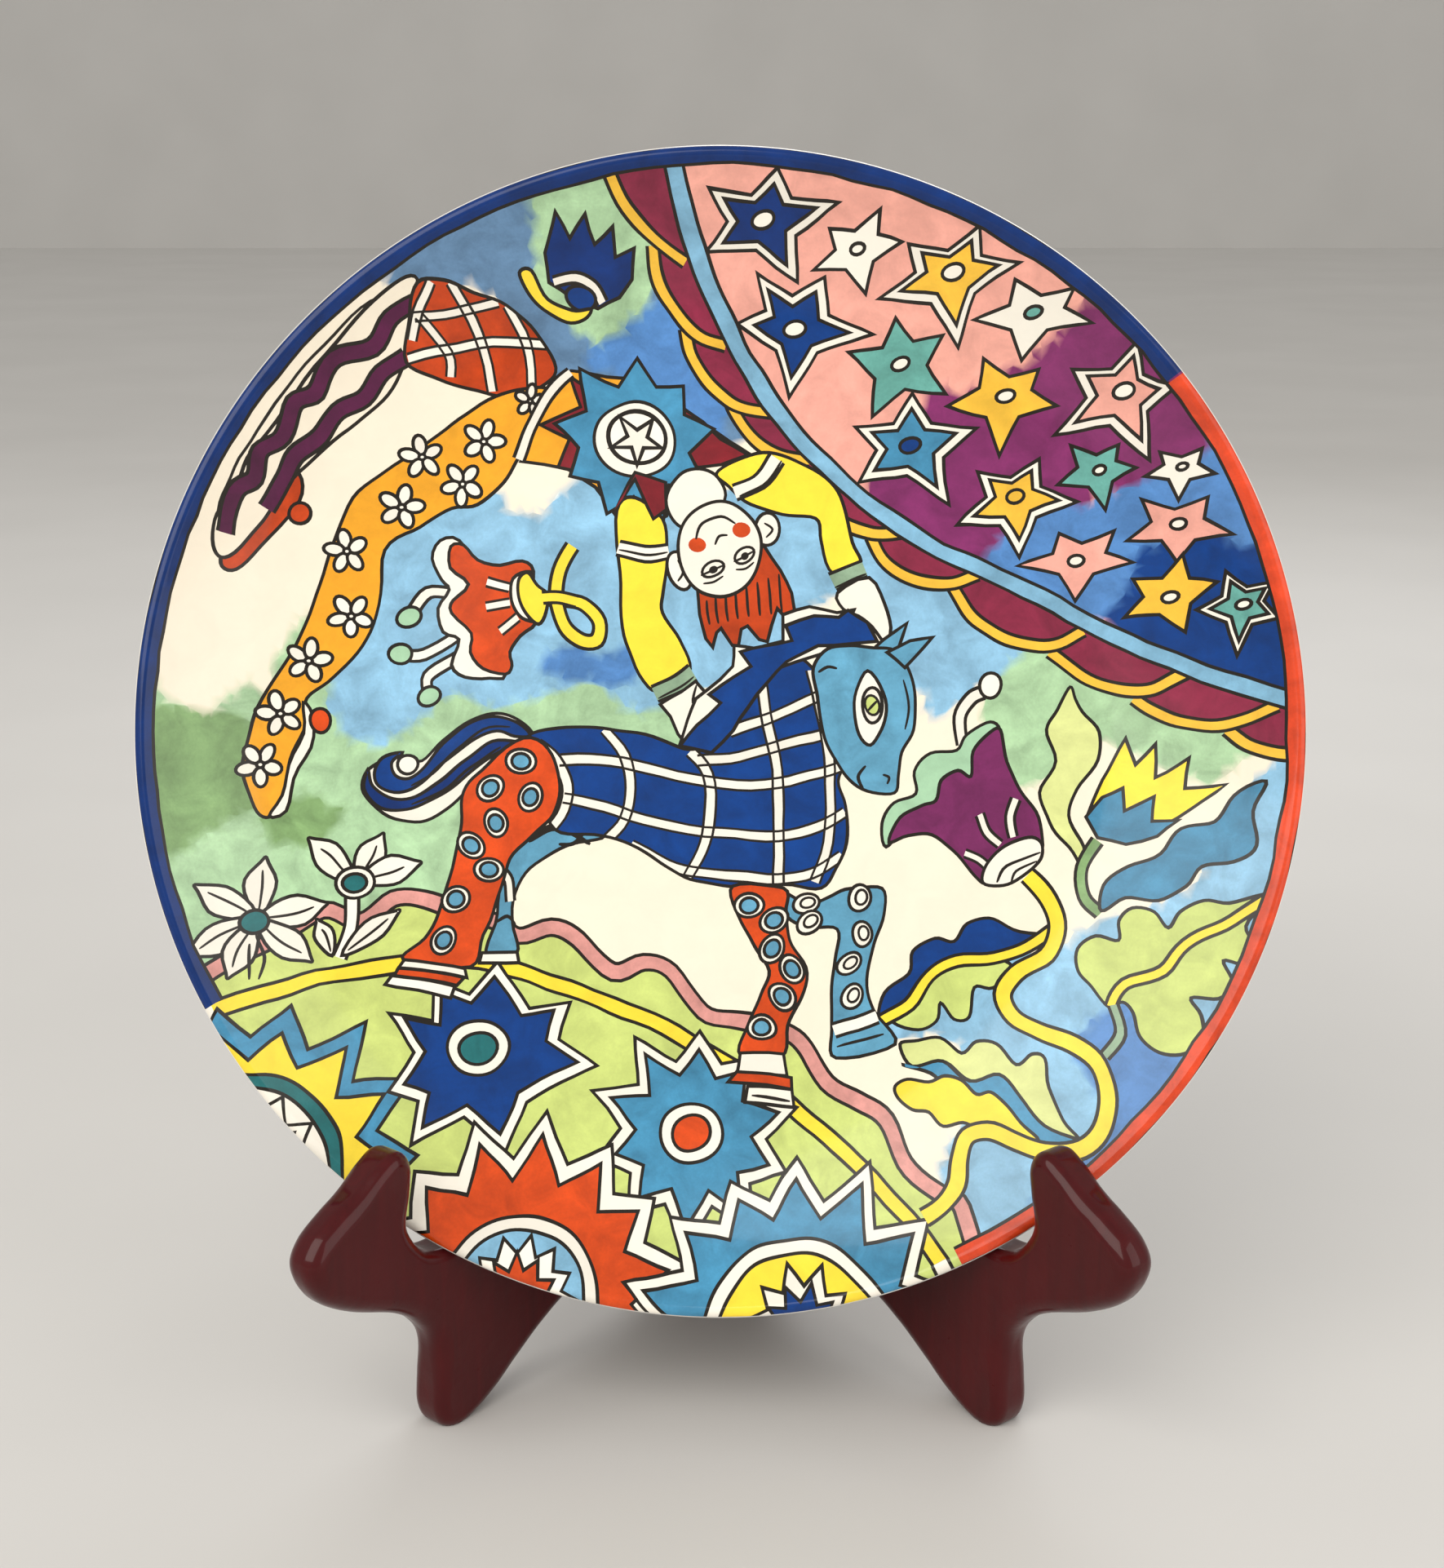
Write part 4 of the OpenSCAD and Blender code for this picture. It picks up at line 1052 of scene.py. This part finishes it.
def paint_sky_tent(art):
    """The starry tent over the upper right, with its scalloped edge."""
    hem = ((-12, 128), (-10, 121), (-7, 111), (-3, 100), (2, 90), (7.2, 80), (14, 70),
           (23.4, 60), (34.4, 50), (49, 41), (62, 35.2), (78, 26.8), (94, 18.8), (110, 12),
           (130, 4.8))
    line = flowing(hem, False)
    art.coat(np.vstack([line, [(150, 60), (90, 130), (20, 150)]]), "pink", True)
    art.wash("purple", (84, 100), (74, 86), (62, 80), (54, 76), (47, 76), (42, 66), (33, 56), (40, 47),
             (60, 35), (70, 40), (84, 52), (98, 56), (112, 62), (112, 80))
    art.wash("blue", (116, 62), (104, 61), (94, 56), (82, 52), (70, 50), (64, 46), (60, 36), (78, 26),
             (92, 28), (104, 38), (122, 42))
    art.wash("deep_blue", (126, 44), (116, 41), (106, 44), (98, 42), (92, 41), (90, 32), (86, 25),
             (100, 16), (130, 6))
    for paint, border, hole, centre, *tips in (
            ("navy", "white", "white", (9.3, 112), (12.4, 122), (25.8, 115), (16.9, 99.4),
             (-3.4, 105.6), (-2.6, 118.4)),
            ("white", None, "white", (30.3, 106.4), (34.6, 113.5), (39.5, 107), (32, 96.8),
             (20.5, 102), (24, 110.2)),
            ("gold", "white", "white", (50.6, 101), (55.8, 109.6), (65, 102), (52.6, 85.4),
             (34.8, 95.6), (41, 106.6)),
            ("white", None, "sea", (68.3, 92), (64.1, 98.6), (76.2, 96.4), (80.5, 89),
             (66.3, 82.2), (56, 91)),
            ("deep_blue", "white", "white", (16.4, 89.8), (8, 101.4), (23.2, 100.4),
             (33.8, 88.2), (15.2, 74.6), (3.8, 90.6)),
            ("sea", None, "white", (39.8, 82), (38.8, 91.6), (49, 88), (50, 75.2),
             (33.6, 70.8), (28.2, 84.4)),
            ("gold", None, "white", (62.8, 74.6), (58, 83), (70, 80), (74.2, 72.4),
             (61.6, 61.8), (50.4, 72.6)),
            ("teal_blue", "white", "deep_blue", (42.4, 64.4), (42.8, 75.6), (56.6, 67.8),
             (51, 51), (31, 56.2), (29.8, 68.4)),
            ("pink", "white", "white", (87.8, 74.6), (89.8, 84.8), (98.6, 75), (93.8, 60.2),
             (74, 66), (77, 79.8)),
            ("gold", "white", "gold", (65.6, 52.8), (70.4, 61), (79, 51.4), (67, 39.2),
             (53, 46.6), (57, 58.4)),
            ("sea", None, "white", (83.6, 58.4), (77.4, 63.6), (87.6, 63.6), (91.2, 58.6),
             (84.8, 49.4), (74.8, 55.2)),
            ("white", None, "white", (100.6, 58.4), (95.8, 61.8), (104, 62), (107, 56.4),
             (100.4, 51.4), (93, 56.6)),
            ("pink", None, "white", (100.6, 46), (92.4, 51.6), (106, 51.4), (111.6, 43.2),
             (100, 38), (89.8, 42.4)),
            ("pink", None, "white", (79.2, 38.4), (75.6, 44.8), (87, 44.6), (91, 37.8),
             (79.2, 29.6), (66.6, 37.4)),
            ("gold", None, "white", (99.2, 30.4), (101.2, 39.6), (108.8, 33.2),
             (102.4, 22.4), (89.4, 26), (91.2, 34.2)),
            ("sea", "white", "white", (114, 28), (110.4, 35.6), (119.6, 33), (120.6, 25),
             (112.8, 17), (104.4, 27.4))):
        art.star(paint, centre, tips, border, hole)
    scallops = (
        ((-24, 121), (-20.4, 114.6), (-14.6, 108.6), (-7.6, 103.8)),
        ((-15, 107), (-14.4, 102), (-11.8, 96), (-7.6, 90.8), (-3.6, 87.8), (1.4, 86.2)),
        ((-7.8, 90), (-6.4, 84.2), (-3, 78.6), (1.8, 74.4), (6.2, 72.4), (11.4, 71.4)),
        ((2.6, 73.6), (5, 68.6), (8.8, 64.4), (13.6, 62), (20, 61)),
        ((12.6, 62), (17.4, 54.6), (24, 48.6), (31.8, 45.2), (36, 44.4), (41.4, 45)),
        ((33.4, 44), (36, 39), (40.8, 35.4), (46.5, 33.6), (52.3, 33.4), (57.6, 35.4)),
        ((52, 32.6), (54.9, 27.4), (58.8, 23.8), (64, 21), (70, 20), (75.6, 20.4), (80.6, 23)),
        ((73.6, 18.6), (78, 15), (83.3, 11.8), (89.2, 9.8), (95, 9.8), (99.3, 11.6),
         (103, 13.6)),
        ((92, 8), (95.6, 5.4), (101, 3), (108, 2), (114, 3), (121, 6)),
        ((111, 1), (115, -2.4), (121, -4.2), (127, -4.4)))
    for edge in reversed(scallops):
        first, last = (np.hypot(*(line - spot).T).argmin() for spot in (edge[0], edge[-1]))
        fan = np.vstack([flowing(edge, False), line[first:last + 1][::-1]])
        art.coat(fan, "maroon")
        art.ribbon("gold", 2.6, *edge)
    art.ribbon("pale_blue", 3.9, *hem)


def paint_rim(art):
    """The band round the rim, blue on the left and over the top, red down the right."""
    def span(start, end):
        steps = int(abs(end - start) / 2) + 1
        return [(BAND_R * math.cos(a), BAND_R * math.sin(a))
                for a in np.radians(np.linspace(start, end, steps))]

    art.ribbon("rim_blue", BAND_W, *span(208, 38.2), curved=False, ink=0.6)
    art.ribbon("rim_red", BAND_W, *span(38, -65.6), curved=False, ink=0.6)


def covers(outline, spots):
    """Which spots lie inside a closed outline."""
    low, high = outline.min(0), outline.max(0)
    chosen = np.flatnonzero(((spots >= low) & (spots <= high)).all(1))
    ends = np.roll(outline, -1, 0)
    inside = np.zeros(len(chosen), bool)
    for start in range(0, len(chosen), BATCH):
        x, y = spots[chosen[start:start + BATCH]].T[:, :, None]
        x0, y0, x1, y1 = outline[:, 0], outline[:, 1], ends[:, 0], ends[:, 1]
        side = (x1 - x0) * (y - y0) - (x - x0) * (y1 - y0)
        turns = ((y0 <= y) & (y1 > y) & (side > 0)).sum(1)
        turns = turns - ((y1 <= y) & (y0 > y) & (side < 0)).sum(1)
        inside[start:start + BATCH] = turns != 0
    return chosen[inside]


def drift(line, pace, seed, reach):
    """A smooth random sideways drift, in mm, for each point of a line."""
    return np.array([noise.noise_vector((x * pace, y * pace, seed))[:2] for x, y in line]) * reach


def hand_drawn(line, soft):
    """The small wander of a hand-held brush, and the ragged edge of a wash."""
    moved = drift(line, 0.13, 3.7, 0.55)
    if soft:
        moved = moved + drift(line, 0.4, 9.1, 2.2)
    return line + moved


def face_depth(r):
    """How far the face lies below the rim at a distance from the plate's axis, and its slope."""
    r = np.minimum(r, PLATE_R - 0.2)
    climb = np.clip(r - WELL_R, 0, FRONT_ARC * math.sin(FRONT_SLOPE))
    out = FRONT_ARC - RISE - np.sqrt(FRONT_ARC ** 2 - climb ** 2)
    slope = np.arcsin(climb / FRONT_ARC)
    lip = r > lip_circle - LIP_R * math.sin(FRONT_SLOPE)
    lean = np.clip((lip_circle - r) / LIP_R, -0.9, 1)
    return (np.where(lip, -LIP_R + LIP_R * np.sqrt(1 - lean ** 2), out),
            np.where(lip, np.arcsin(lean), slope))


def painting_cells(lines):
    """A fine mesh on the plate's plan, cut along every line: its points, cells and middles."""
    spots, links = [], []
    hoops = [np.array(list(arc((0, 0), r, 0, 360 - 360 / HOOP_STEPS, HOOP_STEPS - 1)))
             for r in HOOPS]
    for line in hoops + lines:
        first = len(spots)
        spots.extend(Vector(p) for p in line)
        links.extend((first + k, first + (k + 1) % len(line)) for k in range(len(line)))
    for r in np.arange(1, RING_COUNT + 1) * RING_GAP:
        count = int(r * RING_POINTS)
        start = r * RING_TURN
        spots.extend(Vector(p) for p in arc((0, 0), r, start, start + 360 * (1 - 1 / count),
                                            count - 1))
    points, _, cells = delaunay_2d_cdt(spots, links, [], 0, MERGE, False)[:3]
    points = np.array([tuple(p) for p in points])
    cells = np.array([tuple(c) for c in cells])
    middles = points[cells].mean(1)
    painted = np.hypot(*middles.T) < PAINT_R * math.cos(math.pi / HOOP_STEPS)
    return points, cells[painted], middles[painted]


def top_coats(coats, lines, middles):
    """The number of the coat that shows in each cell."""
    top = np.zeros(len(middles), int)
    for number, (_, _, _, within) in enumerate(coats):
        inside = covers(lines[number], middles)
        if within is not None:
            inside = np.intersect1d(inside, covers(lines[within], middles))
        top[inside] = number
    return top


def corner_colours(coats, top, points, cells):
    """Each cell's colour and mottling at its corners, where soft coats run into one another."""
    wander = np.random.default_rng(SEED).normal(0, SHADE_SPREAD, len(coats))
    shades = np.array([seen_as_light(PAINTS[colour]) * (1 + wander[number] * (not soft))
                       for number, (_, colour, soft, _) in enumerate(coats)])
    colours = np.repeat(shades[top][:, None], 3, 1)
    soft = np.array([coat[2] for coat in coats])[top]
    soft_cells = cells[soft]
    corner = colours[soft]
    for _ in range(2):
        total = np.zeros((len(points), 3))
        count = np.zeros(len(points))
        np.add.at(total, soft_cells.ravel(), corner.reshape(-1, 3))
        np.add.at(count, soft_cells.ravel(), 1)
        mean = total / np.maximum(count, 1)[:, None]
        corner = mean[soft_cells]
    colours[soft] = corner
    body = np.array([MOTTLING.get(coat[1], 1) for coat in coats])[top]
    full = np.ones((len(cells) * 3, 4))
    full[:, :3] = colours.reshape(-1, 3)
    full[:, 3] = np.repeat(body, 3)
    return full.ravel()


def on_face(points):
    """The points set on the plate's face, in metres, and the way that each one faces."""
    r = np.hypot(*points.T)
    out, slope = face_depth(r)
    ways = points / np.maximum(r, 1e-6)[:, None]
    lift = np.interp(r, LIFT_AT, LIFT)
    sunk = r - lift * np.sin(slope)
    places = [on_plate(*(way * s), o)
              for way, s, o in zip(ways, sunk, out + lift * np.cos(slope))]
    centre = on_plate(0, 0, 0)
    facing = [(on_plate(*(-way * math.sin(s)), math.cos(s)) - centre).normalized()
              for way, s in zip(ways, slope)]
    return places, facing


def build_painting():
    """All the coats are cut into one fine mesh on the well, and each cell takes its top coat."""
    art = Painting()
    art.coat(list(arc((0, 0), 150, 0, 355, 71)), "cream", True)
    for paint in (paint_grounds, paint_hill, paint_lilies, paint_yellow_line, paint_sun_flowers,
                  paint_sky_tent, paint_halo_tulip, paint_right_leaves, paint_vine,
                  paint_bell_flower, paint_acrobat, paint_horse, paint_rim):
        paint(art)
    noise.seed_set(SEED)
    lines = [hand_drawn(line, soft) for line, _, soft, _ in art.coats]
    points, cells, middles = painting_cells(lines[1:])
    colours = corner_colours(art.coats, top_coats(art.coats, lines, middles), points, cells)
    used, cells = np.unique(cells, return_inverse=True)
    cells = cells.reshape(-1, 3)
    places, facing = on_face(points[used])
    mesh = bpy.data.meshes.new("painted_well")
    mesh.from_pydata(places, [], cells.tolist())
    mesh.polygons.foreach_set("use_smooth", [True] * len(cells))
    mesh.normals_split_custom_set_from_vertices(facing)
    mesh.color_attributes.new("paint", "FLOAT_COLOR", "CORNER").data.foreach_set("color", colours)
    painting = bpy.data.objects.new("painted_well", mesh)
    bpy.context.scene.collection.objects.link(painting)
    give(painting, painted_glaze())
    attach(painting, "plate")
    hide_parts("painted_face")
    print("painting:", len(lines), "coats", len(places), "points", len(cells), "cells")


# ---------------------------------------------------------------- the boards

seat_drop = math.sqrt(PLATE_R ** 2 - SEAT_HALF ** 2)
SEAT_U = SEAT_HALF / math.sin(HALF_OPEN)
SEAT_Z = PLATE_Z - seat_drop * math.cos(LEAN) - LIP_R * math.sin(LEAN)
FRONT_FOOT_U = SEAT_U - 2
REAR_FOOT_U = 8


def rest_u(z):
    """The post's front edge lies along the plane of the plate's foot ring."""
    depth = (-RING_BOTTOM + SEAT_GAP + (z - PLATE_Z) * math.sin(LEAN)) / math.cos(LEAN)
    return (PIN_Y - PLATE_Y + INNER_GAP * math.sin(HALF_OPEN) - depth) / math.cos(HALF_OPEN)


def board_outline():
    """A board's outline in mm: forward from the pin's axis, and up."""
    turn = math.asin(SEAT_HALF / PLATE_R)
    slope = (math.sin(turn) * math.cos(LEAN)
             / (math.cos(turn) * math.cos(HALF_OPEN)
                + math.sin(turn) * math.sin(LEAN) * math.sin(HALF_OPEN)))
    saddle = SADDLE_EDGE_R * (1 + slope - math.hypot(1, slope)) - SEAT_GAP

    def by_seat(*places):
        return [(SEAT_U + s, SEAT_Z + h) for s, h in places]

    foot = SEAT_Z + 16
    seat = ([(rest_u(foot + 14), foot + 14), (rest_u(foot), foot)]
            + by_seat((-28, 7), (-17, saddle + 1), (-6, saddle), (2, saddle),
                      (6.6, saddle + 1.8)))
    hook = by_seat((9.6, 7), (10.4, 12), (9.6, HOOK_H - 10), (9, HOOK_H - 4.6),
                   (10.6, HOOK_H - 1), (14, HOOK_H), (18, HOOK_H - 2), (23, HOOK_H - 5.4),
                   (HOOK_REACH - 9, HOOK_H - 8.6), (HOOK_REACH - 2.6, HOOK_H - 13),
                   (HOOK_REACH, 8.6), (HOOK_REACH - 3.6, 1), (HOOK_REACH - 12, -4.8))
    leg = [(SEAT_U + s, SEAT_Z * h) for s, h in ((14, 0.76), (7.4, 0.64), (4, 0.5), (3.8, 0.28))]
    front = FRONT_FOOT_U - 2 * FOOT_R
    rear = REAR_FOOT_U + FOOT_R + 3
    middle = (front + rear) / 2
    arch = [(front, ARCH_H * 0.16), (front - 7, ARCH_H * 0.42), (front - 16, ARCH_H * 0.74),
            (middle + 4, ARCH_H - 0.4), (middle - 10, ARCH_H), (rear + 7, ARCH_H * 0.84),
            (rear, ARCH_H * 0.45)]
    under = FOOT_R - SOLE_CUT
    points = (seat + hook + leg + list(arc((FRONT_FOOT_U, under), FOOT_R, 0, -100, 2)) + arch
              + list(arc((REAR_FOOT_U, under), FOOT_R, -5, -90, 2)) + [(2.5, -SOLE_CUT), (0, 3)])
    top = (rest_u(POST_H - 11), POST_H - 11)
    post = [(0, POST_H - 8), (1.4, POST_H - 3), (top[0] * 0.42, POST_H),
            (top[0] - 5, POST_H - 3), top]
    return (list(flowing(points, False, 8)) + [(0, POST_H / 2)]
            + list(flowing(post, False, 8)))


def board_rings():
    """Rings from the inner face to the outer one, drawn in where the edges are rounded."""
    outline = np.array(board_outline())
    nearest = [(SEAT_U + 1, SEAT_Z, SADDLE_EDGE_R), (SEAT_U + 13, SEAT_Z + HOOK_H - 5, TIP_EDGE_R),
               (FRONT_FOOT_U, FOOT_R, TIP_EDGE_R), (REAR_FOOT_U, FOOT_R, TIP_EDGE_R)]

    def ease(x):
        s = np.clip(x, 0, 1)
        return s * s * (3 - 2 * s)

    radius = ARRIS + (EDGE_R - ARRIS) * ease((outline[:, 0] - 1) / ARRIS_RUN)
    for u, z, small in nearest:
        away = np.hypot(outline[:, 0] - u, outline[:, 1] - z)
        radius = np.minimum(radius, small + (EDGE_R - small) * ease((away - TIP_REACH) / TIP_RUN))
    way = np.roll(outline, -1, 0) - np.roll(outline, 1, 0)
    way = way / np.linalg.norm(way, axis=1, keepdims=True)
    inward = np.stack([way[:, 1], -way[:, 0]], 1)
    for outer in (False, True):
        for k in (range(EDGE_STEPS, -1, -1) if outer else range(EDGE_STEPS + 1)):
            a = math.pi / 2 * k / EDGE_STEPS
            ring = outline + inward * (radius * (1 - math.sin(a)))[:, None]
            t = radius * (1 - math.cos(a))
            t = BOARD_T - t if outer else t
            yield [(u, s, max(z, 0)) for (u, z), s in zip(ring, t)]


def on_board(side, u, t, z):
    """A point in metres, from mm forward of the pin, out from it, and up; side is 1 or -1."""
    return Vector((side * (u * math.sin(HALF_OPEN) + t * math.cos(HALF_OPEN)),
                   PIN_Y - u * math.cos(HALF_OPEN) + t * math.sin(HALF_OPEN), z)) * MM


def cut(board, cutter):
    apply_modifier(board, "BOOLEAN", operation="DIFFERENCE", solver="EXACT", object=cutter)
    bpy.data.objects.remove(cutter)


def build_board(side, name, body):
    """A board on its side of the pins, lofted from its rings and cut for the two hinges."""
    rings = [[on_board(side, u, t + INNER_GAP, z) for u, t, z in ring] for ring in board_rings()]
    board = lofted(name + "_lacquered", rings)
    for foot in HINGE_FEET:
        middle = foot + HINGE_H / 2
        bpy.ops.object.select_all(action="DESELECT")
        bpy.ops.mesh.primitive_cube_add(size=1, location=on_board(side, 0, RECESS_MIDDLE, middle),
                                        rotation=(0, 0, side * HALF_OPEN - math.pi / 2))
        recess = bpy.context.object
        recess.scale = Vector(RECESS) * MM
        cut(board, recess)
        bpy.ops.mesh.primitive_cylinder_add(vertices=48, radius=BARREL_R * MM, depth=BARREL_H * MM,
                                            location=on_board(side, 0, 0, middle))
        cut(board, bpy.context.object)
    smoothed(board, 35)
    give(board, cherry_lacquer())
    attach(board, body)
    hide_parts(name)


build_plate()
build_painting()
build_board(-1, "left_board", "left_side")
build_board(1, "right_board", "right_side")
add_floor()

cad_nodes = frame["nodes"]
brass = brushed_brass("hinge_brass", (0.62, 0.42, 0.16), (0.30, 0.19, 0.08))
screw_brass = brushed_brass("screw_brass", (0.55, 0.37, 0.15), (0.24, 0.15, 0.07))
for name in cad_nodes:
    if "leaf" in name or "pin" in name:
        give(cad_nodes[name], brass)
    if "screws" in name:
        give(cad_nodes[name], screw_brass)
